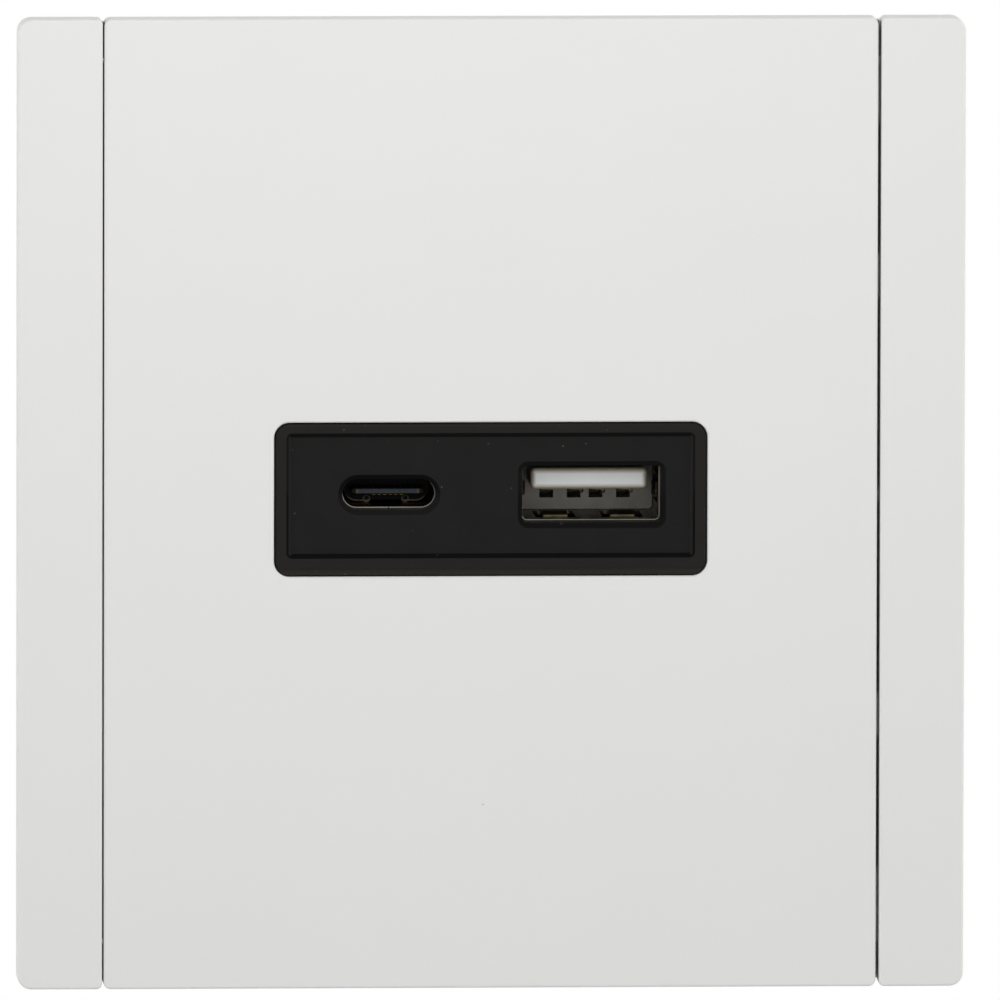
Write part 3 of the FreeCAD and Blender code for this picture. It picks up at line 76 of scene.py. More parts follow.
def add(tree, kind, inputs=None, **settings):
    """Adds one node with its settings, and sets or links its inputs."""
    node = tree.nodes.new(kind)
    for name, value in settings.items():
        setattr(node, name, value)
    for name, value in (inputs or {}).items():
        if isinstance(value, bpy.types.NodeSocket):
            tree.links.new(value, node.inputs[name])
        else:
            node.inputs[name].default_value = value
    return node


# The room. A pale studio: the air gives even light, full from below and weak from above, with a
# tall screen at each side and one round the camera, and looks white behind the socket and in what
# is polished. A small soft lamp hangs close to the plate's upper half, one stands high behind it.
air_high = 0.10
air_low = 0.84
screens = {
    "left_screen": ("X", -0.62, 2.3),
    "right_screen": ("X", 0.62, 2.7),
    "front_screen": ("Y", -0.90, 2.9),
}
world = bpy.data.worlds.new("studio_air")
world.use_nodes = True
bpy.context.scene.world = world
air = world.node_tree
direction = add(air, "ShaderNodeTexCoord").outputs["Generated"]
ways = add(air, "ShaderNodeSeparateXYZ", {"Vector": direction}).outputs
glow = add(air, "ShaderNodeMapRange", {
    "Value": ways["Z"], "From Min": -1.0, "From Max": 1.0, "To Min": air_low, "To Max": air_high,
}).outputs["Result"]
for name, (axis, edge, strength) in screens.items():
    share = add(air, "ShaderNodeMapRange", {
        "Value": ways[axis], "From Min": edge, "From Max": math.copysign(1.0, edge),
    }, label=name).outputs["Result"]
    glow = add(air, "ShaderNodeMix", {0: share, 2: glow, 3: strength}, data_type="FLOAT").outputs[0]
rays = add(air, "ShaderNodeLightPath").outputs
seen = add(air, "ShaderNodeMath", {
    0: rays["Is Camera Ray"], 1: rays["Is Glossy Ray"],
}, operation="MAXIMUM").outputs[0]
seen = add(air, "ShaderNodeMath", {
    0: seen, 1: rays["Is Transmission Ray"],
}, operation="MAXIMUM").outputs[0]
shown = add(air, "ShaderNodeMix", {0: seen, 6: glow, 7: linear("#FFFFFF")}, data_type="RGBA").outputs[2]
air.links.new(shown, air.nodes["Background"].inputs["Color"])

lamps = {
    "front_lamp": ((-0.01, -0.20, 0.12), 0.12, 0.14),
    "rear_lamp": ((0.50, 0.90, 1.30), 1.0, 3.5),
}
for name, (place, size, watts) in lamps.items():
    lamp_data = bpy.data.lights.new(name, "AREA")
    lamp_data.size = size
    lamp_data.energy = watts
    lamp = bpy.data.objects.new(name, lamp_data)
    lamp.location = place
    lamp.rotation_euler = Vector(place).to_track_quat("Z", "Y").to_euler()
    lamp.visible_camera = False
    bpy.context.scene.collection.objects.link(lamp)

# The floor of the room. Matt white paint, slightly mottled. It is clear from beneath, so that a
# view from below shows the socket too.
floor_drop = 0.26
floor_radius = 1.7
mottles_per_metre = 6.0
bpy.ops.object.select_all(action="DESELECT")
floor_place = (0, 0, cad_low.z - floor_drop)
bpy.ops.mesh.primitive_circle_add(vertices=96, radius=floor_radius, fill_type="NGON", location=floor_place)
floor = bpy.context.object
floor.name = "floor"
floor_paint = bpy.data.materials.new("matt_white_floor_paint")
floor_paint.use_nodes = True
tree = floor_paint.node_tree
place = add(tree, "ShaderNodeTexCoord").outputs["Object"]
mottle = add(tree, "ShaderNodeTexNoise", {
    "Vector": place, "Scale": mottles_per_metre, "Detail": 3.0,
}).outputs["Fac"]
paint = add(tree, "ShaderNodeMix", {
    0: mottle, 6: linear("#F0F0EE"), 7: linear("#F6F6F5"),
}, data_type="RGBA").outputs[2]
shader = tree.nodes["Principled BSDF"]
tree.links.new(paint, shader.inputs["Base Color"])
shader.inputs["Roughness"].default_value = 0.9
under = add(tree, "ShaderNodeNewGeometry").outputs["Backfacing"]
clear = add(tree, "ShaderNodeBsdfTransparent").outputs["BSDF"]
floor_face = add(tree, "ShaderNodeMixShader", {
    0: under, 1: shader.outputs["BSDF"], 2: clear,
}).outputs["Shader"]
tree.links.new(floor_face, tree.nodes["Material Output"].inputs["Surface"])
floor.data.materials.append(floor_paint)
floor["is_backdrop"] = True


def new_material(name, **values):
    """Material with its shader's plain inputs set. Gives the material, its tree and the shader."""
    made = bpy.data.materials.new(name)
    made.use_nodes = True
    shader = made.node_tree.nodes["Principled BSDF"]
    for key, value in values.items():
        shader.inputs[key.replace("_", " ")].default_value = value
    return made, made.node_tree, shader


def dress(material, *nodes):
    """Puts a material on the CAD nodes."""
    for name in nodes:
        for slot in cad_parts[name].material_slots:
            slot.material = material


# The support ring. Sheet steel, punched and folded in a press, with a thin bluish zinc plating
# that dulls in soft patches. It carries the wall screws.
zinc, tree, shader = new_material("zinc_plated_sheet_steel", Metallic=1.0)
patch_mm = 5.0
rolling_mm = 0.25
place = add(tree, "ShaderNodeTexCoord").outputs["Object"]
patches = add(tree, "ShaderNodeTexNoise", {
    "Vector": place, "Scale": 1000 / patch_mm, "Detail": 4.0,
}).outputs["Fac"]
shade = add(tree, "ShaderNodeMix", {
    0: patches, 6: linear("#8F9296"), 7: linear("#B4B6B8"),
}, data_type="RGBA").outputs[2]
long_way = add(tree, "ShaderNodeMapping", {"Vector": place, "Scale": (0.04, 1.0, 1.0)}).outputs["Vector"]
lines = add(tree, "ShaderNodeTexNoise", {
    "Vector": long_way, "Scale": 1000 / rolling_mm, "Detail": 2.0,
}).outputs["Fac"]
rough = add(tree, "ShaderNodeMapRange", {
    "Value": patches, "To Min": 0.32, "To Max": 0.52,
}).outputs["Result"]
relief = add(tree, "ShaderNodeBump", {
    "Height": lines, "Strength": 0.25, "Distance": 0.00002,
}).outputs["Normal"]
tree.links.new(shade, shader.inputs["Base Color"])
tree.links.new(rough, shader.inputs["Roughness"])
tree.links.new(relief, shader.inputs["Normal"])
dress(zinc, "support_ring")

# The screws that clamp the two halves of the housing on the ring. Turned steel with a passivated
# zinc coat, which gives it a yellowish sheen over fine turning marks.
passivated, tree, shader = new_material("passivated_screw_steel", Metallic=1.0)
turning_mm = 0.12
place = add(tree, "ShaderNodeTexCoord").outputs["Object"]
turned = add(tree, "ShaderNodeTexNoise", {
    "Vector": place, "Scale": 1000 / turning_mm, "Detail": 1.0,
}).outputs["Fac"]
shade = add(tree, "ShaderNodeMix", {
    0: turned, 6: linear("#A39A7C"), 7: linear("#BDB596"),
}, data_type="RGBA").outputs[2]
relief = add(tree, "ShaderNodeBump", {
    "Height": turned, "Strength": 0.2, "Distance": 0.00001,
}).outputs["Normal"]
tree.links.new(shade, shader.inputs["Base Color"])
tree.links.new(relief, shader.inputs["Normal"])
shader.inputs["Roughness"].default_value = 0.35
dress(passivated, "housing_screws")

# The rear housing. Black glass-filled nylon, moulded in a plain spark-eroded tool, so it is
# matt, a little grey, and slightly cloudy where the glass lies near the skin.
nylon, tree, shader = new_material("glass_filled_black_nylon")
cloud_mm = 7.0
grain_mm = 0.22
place = add(tree, "ShaderNodeTexCoord").outputs["Object"]
cloud = add(tree, "ShaderNodeTexNoise", {
    "Vector": place, "Scale": 1000 / cloud_mm, "Detail": 5.0, "Distortion": 0.6,
}).outputs["Fac"]
grain = add(tree, "ShaderNodeTexNoise", {
    "Vector": place, "Scale": 1000 / grain_mm, "Detail": 2.0,
}).outputs["Fac"]
shade = add(tree, "ShaderNodeMix", {
    0: cloud, 6: linear("#18181A"), 7: linear("#242426"),
}, data_type="RGBA").outputs[2]
rough = add(tree, "ShaderNodeMapRange", {
    "Value": cloud, "To Min": 0.45, "To Max": 0.62,
}).outputs["Result"]
relief = add(tree, "ShaderNodeBump", {
    "Height": grain, "Strength": 0.5, "Distance": 0.00003,
}).outputs["Normal"]
tree.links.new(shade, shader.inputs["Base Color"])
tree.links.new(rough, shader.inputs["Roughness"])
tree.links.new(relief, shader.inputs["Normal"])
shader.inputs["Specular IOR Level"].default_value = 0.35
dress(nylon, "housing_rear")

# The two circuit boards. Glass-epoxy laminate under a green solder mask, with paler lines
# where the copper lies below the mask.
laminate, tree, shader = new_material("green_masked_glass_epoxy", Roughness=0.3)
track_mm = 1.4
track_share = 0.42
weave_mm = 0.5
waves_per_unit = 20
place = add(tree, "ShaderNodeTexCoord").outputs["Object"]
tracks = add(tree, "ShaderNodeTexVoronoi", {
    "Vector": place, "Scale": 1000 / track_mm,
}, distance="CHEBYCHEV").outputs["Distance"]
line = add(tree, "ShaderNodeMath", {0: tracks, 1: track_share}, operation="GREATER_THAN").outputs[0]
shade = add(tree, "ShaderNodeMix", {
    0: line, 6: linear("#1C5A33"), 7: linear("#12421F"),
}, data_type="RGBA").outputs[2]
weave = add(tree, "ShaderNodeTexWave", {
    "Vector": place, "Scale": 1000 / weave_mm / waves_per_unit, "Distortion": 1.0,
}).outputs["Fac"]
relief = add(tree, "ShaderNodeBump", {
    "Height": weave, "Strength": 0.2, "Distance": 0.00001,
}).outputs["Normal"]
tree.links.new(shade, shader.inputs["Base Color"])
tree.links.new(relief, shader.inputs["Normal"])
dress(laminate, "port_board", "power_board")

# The chips and the rectifier, soldered to the boards. Epoxy mould compound, black and matt, with
# a fine mineral grain.
compound, tree, shader = new_material("black_mould_compound", Roughness=0.6)
mineral_mm = 0.15
place = add(tree, "ShaderNodeTexCoord").outputs["Object"]
mineral = add(tree, "ShaderNodeTexNoise", {"Vector": place, "Scale": 1000 / mineral_mm}).outputs["Fac"]
shade = add(tree, "ShaderNodeMix", {
    0: mineral, 6: linear("#161617"), 7: linear("#2A2A2B"),
}, data_type="RGBA").outputs[2]
tree.links.new(shade, shader.inputs["Base Color"])
dress(compound, "port_board_chips", "rectifier", "switch_chip")

# The header between the boards and the transformer's bobbin. Liquid crystal polymer, moulded
# black, with a dull sheen and fine flow lines.
polymer, tree, shader = new_material("black_liquid_crystal_polymer", Roughness=0.5)
flow_mm = 0.35
place = add(tree, "ShaderNodeTexCoord").outputs["Object"]
along = add(tree, "ShaderNodeMapping", {"Vector": place, "Scale": (0.25, 1.0, 1.0)}).outputs["Vector"]
flow = add(tree, "ShaderNodeTexNoise", {
    "Vector": along, "Scale": 1000 / flow_mm, "Detail": 3.0,
}).outputs["Fac"]
shade = add(tree, "ShaderNodeMix", {
    0: flow, 6: linear("#141618"), 7: linear("#282B2E"),
}, data_type="RGBA").outputs[2]
relief = add(tree, "ShaderNodeBump", {
    "Height": flow, "Strength": 0.3, "Distance": 0.00001,
}).outputs["Normal"]
tree.links.new(shade, shader.inputs["Base Color"])
tree.links.new(relief, shader.inputs["Normal"])
dress(polymer, "link_header", "transformer_bobbin")

# The tongue and base inside the USB-C port. The same black polymer, with painted light that makes
# the middle of the tip's front face blue-grey, painted shade that makes the rest darker, and a tan
# spot of bare contact at both ends of that blue-grey middle.
lit_tip_polymer, tree, shader = new_material("black_liquid_crystal_polymer_with_painted_light", Roughness=0.5)
lit_face_grain_mm = 0.2
tip_mm = 0.1
bare_corner = 0.05
lit_face_corner = 0.1
lit_fade_inside = 0.06
lit_fade_outside = 0.02
c_centre = (-9.2, 0.86)
lit_face_size = (5.8, 0.42)
bare_size = (5.3, 0.42)
tongue_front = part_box("usb_c_insulator")[0].y


def outline_distance(tree, place, centre, size, corner):
    """Millimetres from the outline of a rounded opening in X and Z, more than 0 outside it."""
    axes = add(tree, "ShaderNodeSeparateXYZ", {"Vector": place}).outputs
    reach = []
    for axis, middle, width in zip("XZ", centre, size):
        offset = add(tree, "ShaderNodeMath", {
            0: axes[axis], 1: 1000.0, 2: -middle,
        }, operation="MULTIPLY_ADD").outputs[0]
        offset = add(tree, "ShaderNodeMath", {0: offset}, operation="ABSOLUTE").outputs[0]
        reach.append(add(tree, "ShaderNodeMath", {
            0: offset, 1: width / 2 - corner,
        }, operation="SUBTRACT").outputs[0])
    past = [add(tree, "ShaderNodeMath", {0: r, 1: 0.0}, operation="MAXIMUM").outputs[0] for r in reach]
    past = add(tree, "ShaderNodeCombineXYZ", {"X": past[0], "Y": past[1]}).outputs["Vector"]
    past = add(tree, "ShaderNodeVectorMath", {0: past}, operation="LENGTH").outputs["Value"]
    within = add(tree, "ShaderNodeMath", {0: reach[0], 1: reach[1]}, operation="MAXIMUM").outputs[0]
    within = add(tree, "ShaderNodeMath", {0: within, 1: 0.0}, operation="MINIMUM").outputs[0]
    both = add(tree, "ShaderNodeMath", {0: past, 1: within}, operation="ADD").outputs[0]
    return add(tree, "ShaderNodeMath", {0: both, 1: corner}, operation="SUBTRACT").outputs[0]


place = add(tree, "ShaderNodeTexCoord").outputs["Object"]
# Painted light: the middle of the tip's front face is made blue-grey.
lit_face_grain = add(tree, "ShaderNodeTexNoise", {
    "Vector": place, "Scale": 1000 / lit_face_grain_mm, "Detail": 3.0,
}).outputs["Fac"]
shade = add(tree, "ShaderNodeMix", {
    0: lit_face_grain, 6: linear("#2B2F34"), 7: linear("#4A4F56"),
}, data_type="RGBA").outputs[2]
past_bare = outline_distance(tree, place, c_centre, bare_size, bare_corner)
bare = add(tree, "ShaderNodeMath", {0: past_bare, 1: 0.0}, operation="GREATER_THAN").outputs[0]
shade = add(tree, "ShaderNodeMix", {
    0: bare, 6: shade, 7: linear("#5A5140"),
}, data_type="RGBA").outputs[2]
# Painted shade: everything off that face is made darker than the same polymer elsewhere.
past_lit_face = outline_distance(tree, place, c_centre, lit_face_size, lit_face_corner)
painted_shade_off_face = add(tree, "ShaderNodeMapRange", {
    "Value": past_lit_face, "From Min": -lit_fade_inside, "From Max": lit_fade_outside,
}).outputs["Result"]
depth = add(tree, "ShaderNodeSeparateXYZ", {"Vector": place}).outputs["Y"]
behind = add(tree, "ShaderNodeMath", {
    0: depth, 1: tongue_front + tip_mm / 1000,
}, operation="GREATER_THAN").outputs[0]
painted_shade_off_face = add(tree, "ShaderNodeMath", {0: painted_shade_off_face, 1: behind}, operation="MAXIMUM").outputs[0]
shade = add(tree, "ShaderNodeMix", {
    0: painted_shade_off_face, 6: shade, 7: linear("#0C0C0D"),
}, data_type="RGBA").outputs[2]
tree.links.new(shade, shader.inputs["Base Color"])
shader.inputs["Specular IOR Level"].default_value = 0.1
dress(lit_tip_polymer, "usb_c_insulator")

# The contacts and the pins. Copper alloy, stamped and plated with thin hard gold, with painted
# shade that makes them nearly black above the middle of the ports.
gold, tree, shader = new_material("gold_plated_contact", Metallic=1.0)
wipe_mm = 0.2
place = add(tree, "ShaderNodeTexCoord").outputs["Object"]
wipe = add(tree, "ShaderNodeTexNoise", {"Vector": place, "Scale": 1000 / wipe_mm}).outputs["Fac"]
shade = add(tree, "ShaderNodeMix", {
    0: wipe, 6: linear("#4A3D24"), 7: linear("#7A6740"),
}, data_type="RGBA").outputs[2]
# Painted shade: all above the middle of the ports is made nearly black.
height = add(tree, "ShaderNodeSeparateXYZ", {"Vector": place}).outputs["Z"]
painted_shading_by_height = add(tree, "ShaderNodeMath", {
    0: height, 1: c_centre[1] / 1000,
}, operation="GREATER_THAN").outputs[0]
shade = add(tree, "ShaderNodeMix", {
    0: painted_shading_by_height, 6: shade, 7: linear("#17130B"),
}, data_type="RGBA").outputs[2]
rough = add(tree, "ShaderNodeMapRange", {
    "Value": wipe, "To Min": 0.22, "To Max": 0.38,
}).outputs["Result"]
tree.links.new(shade, shader.inputs["Base Color"])
tree.links.new(rough, shader.inputs["Roughness"])
dress(gold, "usb_c_contacts", "usb_a_contacts", "link_pins")

# The capacitors in cans. Drawn aluminium in a plain dark shrink sleeve, which leaves the bare end
# of each can open.
sleeve, tree, shader = new_material("shrink_sleeve_over_aluminium", Roughness=0.35)
ripple_mm = 2.0
end_normal = 0.9
place = add(tree, "ShaderNodeTexCoord").outputs["Object"]
ripple = add(tree, "ShaderNodeTexNoise", {"Vector": place, "Scale": 1000 / ripple_mm}).outputs["Fac"]
facing = add(tree, "ShaderNodeSeparateXYZ", {
    "Vector": add(tree, "ShaderNodeNewGeometry").outputs["Normal"],
}).outputs["Y"]
facing = add(tree, "ShaderNodeMath", {0: facing}, operation="ABSOLUTE").outputs[0]
lid = add(tree, "ShaderNodeMath", {0: facing, 1: end_normal}, operation="GREATER_THAN").outputs[0]
film = add(tree, "ShaderNodeMix", {
    0: ripple, 6: linear("#1B2530"), 7: linear("#263442"),
}, data_type="RGBA").outputs[2]
shade = add(tree, "ShaderNodeMix", {0: lid, 6: film, 7: linear("#C9CACC")}, data_type="RGBA").outputs[2]
tree.links.new(shade, shader.inputs["Base Color"])
tree.links.new(lid, shader.inputs["Metallic"])
dress(sleeve, "bulk_capacitors", "output_capacitors")

# The transformer's core and the two chokes. Ferrite, pressed and fired, dark grey with a fine matt
# grain.
ferrite, tree, shader = new_material("fired_ferrite", Roughness=0.55)
pressed_mm = 0.3
place = add(tree, "ShaderNodeTexCoord").outputs["Object"]
pressed = add(tree, "ShaderNodeTexNoise", {
    "Vector": place, "Scale": 1000 / pressed_mm, "Detail": 4.0,
}).outputs["Fac"]
shade = add(tree, "ShaderNodeMix", {
    0: pressed, 6: linear("#232325"), 7: linear("#3A393B"),
}, data_type="RGBA").outputs[2]
relief = add(tree, "ShaderNodeBump", {
    "Height": pressed, "Strength": 0.4, "Distance": 0.00002,
}).outputs["Normal"]
tree.links.new(shade, shader.inputs["Base Color"])
tree.links.new(relief, shader.inputs["Normal"])
dress(ferrite, "transformer_core", "input_choke", "output_choke")

# The transformer's winding. Enamelled wire under layers of yellow polyester tape, glossy and a
# little uneven over the turns.
tape, tree, shader = new_material("yellow_polyester_tape", Roughness=0.3)
turn_mm = 0.8
place = add(tree, "ShaderNodeTexCoord").outputs["Object"]
turns = add(tree, "ShaderNodeTexNoise", {"Vector": place, "Scale": 1000 / turn_mm}).outputs["Fac"]
shade = add(tree, "ShaderNodeMix", {
    0: turns, 6: linear("#C9A22B"), 7: linear("#E0BC48"),
}, data_type="RGBA").outputs[2]
relief = add(tree, "ShaderNodeBump", {
    "Height": turns, "Strength": 0.4, "Distance": 0.00003,
}).outputs["Normal"]
tree.links.new(shade, shader.inputs["Base Color"])
tree.links.new(relief, shader.inputs["Normal"])
dress(tape, "transformer_winding")

# The small components and the film between the boards. Each is boxed, dipped or moulded in the
# colour that its kind usually has, with a slightly uneven skin.
coats = {
    "film_capacitor": ("ochre_capacitor_box", "#B98A1E", "#CFA132", 0.35),
    "fuse_resistor": ("grey_green_cement_coat", "#5F7468", "#73887B", 0.6),
    "disc_capacitor": ("blue_dipped_epoxy", "#1C4F94", "#2C66B0", 0.3),
    "optocoupler": ("white_mould_compound", "#D8D7D0", "#E6E5DF", 0.5),
    "insulating_sheet": ("milky_polyester_film", "#C9CEC9", "#DADEDA", 0.2),
}
coat_mm = 0.6
for name, (finish, dark, pale, roughness) in coats.items():
    coat, tree, shader = new_material(finish, Roughness=roughness)
    place = add(tree, "ShaderNodeTexCoord").outputs["Object"]
    cover = add(tree, "ShaderNodeTexNoise", {
        "Vector": place, "Scale": 1000 / coat_mm, "Detail": 3.0,
    }).outputs["Fac"]
    shade = add(tree, "ShaderNodeMix", {
        0: cover, 6: linear(dark), 7: linear(pale),
    }, data_type="RGBA").outputs[2]
    relief = add(tree, "ShaderNodeBump", {
        "Height": cover, "Strength": 0.3, "Distance": 0.00003,
    }).outputs["Normal"]
    tree.links.new(shade, shader.inputs["Base Color"])
    tree.links.new(relief, shader.inputs["Normal"])
    dress(coat, name)

# The terminals. A grey nylon block with tinned copper bars, spring steel clamps and two orange
# buttons, all moulded or stamped in quantity.
terminals = {
    "terminal_block": ("grey_moulded_nylon", "#85888B", "#93969A", 0.5, 0.0),
    "line_busbar": ("tinned_copper", "#B39A86", "#C9B4A0", 0.35, 1.0),
    "neutral_busbar": ("tinned_copper", "#B39A86", "#C9B4A0", 0.35, 1.0),
    "line_clamp_spring": ("rolled_spring_steel", "#A3A6AA", "#BEC1C4", 0.3, 1.0),
    "neutral_clamp_spring": ("rolled_spring_steel", "#A3A6AA", "#BEC1C4", 0.3, 1.0),
    "line_release_button": ("orange_moulded_nylon", "#CC5A12", "#DC6A1C", 0.45, 0.0),
    "neutral_release_button": ("orange_moulded_nylon", "#CC5A12", "#DC6A1C", 0.45, 0.0),
}
fine_mm = 0.25
for name, (finish, dark, pale, roughness, metal) in terminals.items():
    made, tree, shader = new_material(finish, Roughness=roughness, Metallic=metal)
    place = add(tree, "ShaderNodeTexCoord").outputs["Object"]
    skin = add(tree, "ShaderNodeTexNoise", {
        "Vector": place, "Scale": 1000 / fine_mm, "Detail": 3.0,
    }).outputs["Fac"]
    shade = add(tree, "ShaderNodeMix", {
        0: skin, 6: linear(dark), 7: linear(pale),
    }, data_type="RGBA").outputs[2]
    relief = add(tree, "ShaderNodeBump", {
        "Height": skin, "Strength": 0.3, "Distance": 0.00002,
    }).outputs["Normal"]
    tree.links.new(shade, shader.inputs["Base Color"])
    tree.links.new(relief, shader.inputs["Normal"])
    dress(made, name)

# The shells of the ports. Stainless strip folded into tubes, with painted shade that makes it dark
# inside where little light gets in, brassy specks that are rub marks and painted glints, rub marks
# and painted light that make the spring fingers below lighter, a dull sheared rim and a painted
# highlight in a thin line round its inner edge.
ports = {
    "usb_c_shell": ((-9.2, 0.86), (8.34, 2.56), 1.27),
    "usb_a_shell": ((9.2, 0.86), (12.4, 5.06), 0.4),
}
strip_mm = 0.12
highlight_variation_mm = 3.0
rim_mm = 0.04
highlight_mm = 0.08
highlight_core = 0.7
wear_and_glint_mm = 0.5
wear_and_glint_low = 0.62
wear_and_glint_high = 0.68
fingers = {"usb_c_shell": (), "usb_a_shell": (6.2, 12.2)}
finger_height = -1.4
finger_size = (2.8, 1.3)
finger_corner = 0.3
for name, (centre, size, corner) in ports.items():
    port_steel, tree, shader = new_material("bright_rolled_stainless_strip", Metallic=1.0)
    rim_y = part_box(name)[0].y + rim_mm / 1000
    place = add(tree, "ShaderNodeTexCoord").outputs["Object"]
    along = add(tree, "ShaderNodeMapping", {
        "Vector": place, "Scale": (1.0, 0.08, 1.0),
    }).outputs["Vector"]
    strip = add(tree, "ShaderNodeTexNoise", {
        "Vector": along, "Scale": 1000 / strip_mm, "Detail": 3.0,
    }).outputs["Fac"]
    highlight_variation = add(tree, "ShaderNodeTexNoise", {
        "Vector": place, "Scale": 1000 / highlight_variation_mm, "Detail": 2.0,
    }).outputs["Fac"]
    # Painted shade: the walls inside are made dark where little light gets in.
    walls = add(tree, "ShaderNodeMix", {
        0: strip, 6: linear("#1C1A17"), 7: linear("#332F29"),
    }, data_type="RGBA").outputs[2]
    patchy = add(tree, "ShaderNodeTexNoise", {
        "Vector": place, "Scale": 1000 / wear_and_glint_mm, "Detail": 1.0,
    }).outputs["Fac"]
    # Brassy specks on the walls, rub marks and painted glints.
    wear_and_glints = add(tree, "ShaderNodeMapRange", {
        "Value": patchy, "From Min": wear_and_glint_low, "From Max": wear_and_glint_high,
    }).outputs["Result"]
    rubbed_and_lit_finger = add(tree, "ShaderNodeMix", {
        0: patchy, 6: linear("#3C372B"), 7: linear("#8A7F63"),
    }, data_type="RGBA").outputs[2]
    walls = add(tree, "ShaderNodeMix", {
        0: wear_and_glints, 6: walls, 7: linear("#7E6E4A"),
    }, data_type="RGBA").outputs[2]
    # Rub marks and painted light make the spring fingers lighter than the shaded walls.
    for middle in fingers[name]:
        away = outline_distance(tree, place, (middle, finger_height), finger_size, finger_corner)
        on_finger = add(tree, "ShaderNodeMath", {0: away, 1: 0.0}, operation="LESS_THAN").outputs[0]
        walls = add(tree, "ShaderNodeMix", {
            0: on_finger, 6: walls, 7: rubbed_and_lit_finger,
        }, data_type="RGBA").outputs[2]
    # Painted highlight: a thin bright line round the rim's inner edge, varying in strength.
    painted_rim_highlight = add(tree, "ShaderNodeMix", {
        0: highlight_variation, 6: linear("#6E6A62"), 7: linear("#B9B4AA"),
    }, data_type="RGBA").outputs[2]
    away = outline_distance(tree, place, centre, size, corner)
    line = add(tree, "ShaderNodeMapRange", {
        "Value": away, "From Min": highlight_mm * highlight_core, "From Max": highlight_mm,
        "To Min": 1.0, "To Max": 0.0,
    }).outputs["Result"]
    rim = add(tree, "ShaderNodeMix", {
        0: line, 6: linear("#3B3831"), 7: painted_rim_highlight,
    }, data_type="RGBA").outputs[2]
    depth = add(tree, "ShaderNodeSeparateXYZ", {"Vector": place}).outputs["Y"]
    at_rim = add(tree, "ShaderNodeMath", {0: depth, 1: rim_y}, operation="LESS_THAN").outputs[0]
    shade = add(tree, "ShaderNodeMix", {0: at_rim, 6: walls, 7: rim}, data_type="RGBA").outputs[2]
    rough = add(tree, "ShaderNodeMapRange", {
        "Value": strip, "To Min": 0.25, "To Max": 0.4,
    }).outputs["Result"]
    tree.links.new(shade, shader.inputs["Base Color"])
    tree.links.new(rough, shader.inputs["Roughness"])
    dress(port_steel, name)

# The ground clip of the USB-C port. Thin brass-coloured sheet, pressed round the tongue's root,
# with painted shade that makes it dark above the middle of the port.
brass, tree, shader = new_material("dull_brass_sheet", Metallic=1.0, Roughness=0.35)
dull_mm = 0.3
fade = 0.0003
place = add(tree, "ShaderNodeTexCoord").outputs["Object"]
dull = add(tree, "ShaderNodeTexNoise", {"Vector": place, "Scale": 1000 / dull_mm}).outputs["Fac"]
shade = add(tree, "ShaderNodeMix", {
    0: dull, 6: linear("#3A3428"), 7: linear("#5E5443"),
}, data_type="RGBA").outputs[2]
# Painted shade: above the middle of the port the clip is made dark.
height = add(tree, "ShaderNodeSeparateXYZ", {"Vector": place}).outputs["Z"]
low = add(tree, "ShaderNodeMapRange", {
    "Value": height, "From Min": fade, "From Max": -fade,
}).outputs["Result"]
shade = add(tree, "ShaderNodeMix", {0: low, 6: linear("#171511"), 7: shade}, data_type="RGBA").outputs[2]
tree.links.new(shade, shader.inputs["Base Color"])
dress(brass, "usb_c_ground_clip")

# The white tongue and wall inside the USB-A port. White heat-proof nylon, with painted shade that
# makes it ivory along the tongue's rounded edges and grey where the wall lies deep.
ivory, tree, shader = new_material("white_heat_proof_nylon", Roughness=0.4)
body_mm = 1.2
tongue_centre = (9.2, 1.80)
tongue_size = (10.6, 1.94)
tongue_corner = 0.45
ivory_mm = 0.55
wall_mm = 1.0
insulator_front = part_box("usb_a_insulator")[0].y
place = add(tree, "ShaderNodeTexCoord").outputs["Object"]
body = add(tree, "ShaderNodeTexNoise", {
    "Vector": place, "Scale": 1000 / body_mm, "Detail": 3.0,
}).outputs["Fac"]
away = outline_distance(tree, place, tongue_centre, tongue_size, tongue_corner)
# Painted shade: an ivory band darkens the tongue's rounded edges.
edge = add(tree, "ShaderNodeMapRange", {
    "Value": away, "From Min": -ivory_mm, "From Max": -ivory_mm / 4,
}).outputs["Result"]
face = add(tree, "ShaderNodeMix", {
    0: body, 6: linear("#F2F5F6"), 7: linear("#FBFCFC"),
}, data_type="RGBA").outputs[2]
face = add(tree, "ShaderNodeMix", {0: edge, 6: face, 7: linear("#A8A08A")}, data_type="RGBA").outputs[2]
# Painted shade: the wall is made grey where it lies deep.
painted_shade_wall = add(tree, "ShaderNodeMix", {
    0: body, 6: linear("#8B867B"), 7: linear("#A19C92"),
}, data_type="RGBA").outputs[2]
depth = add(tree, "ShaderNodeSeparateXYZ", {"Vector": place}).outputs["Y"]
painted_shade_deep = add(tree, "ShaderNodeMath", {
    0: depth, 1: insulator_front + wall_mm / 1000,
}, operation="GREATER_THAN").outputs[0]
shade = add(tree, "ShaderNodeMix", {0: painted_shade_deep, 6: face, 7: painted_shade_wall}, data_type="RGBA").outputs[2]
tree.links.new(shade, shader.inputs["Base Color"])
dress(ivory, "usb_a_insulator")

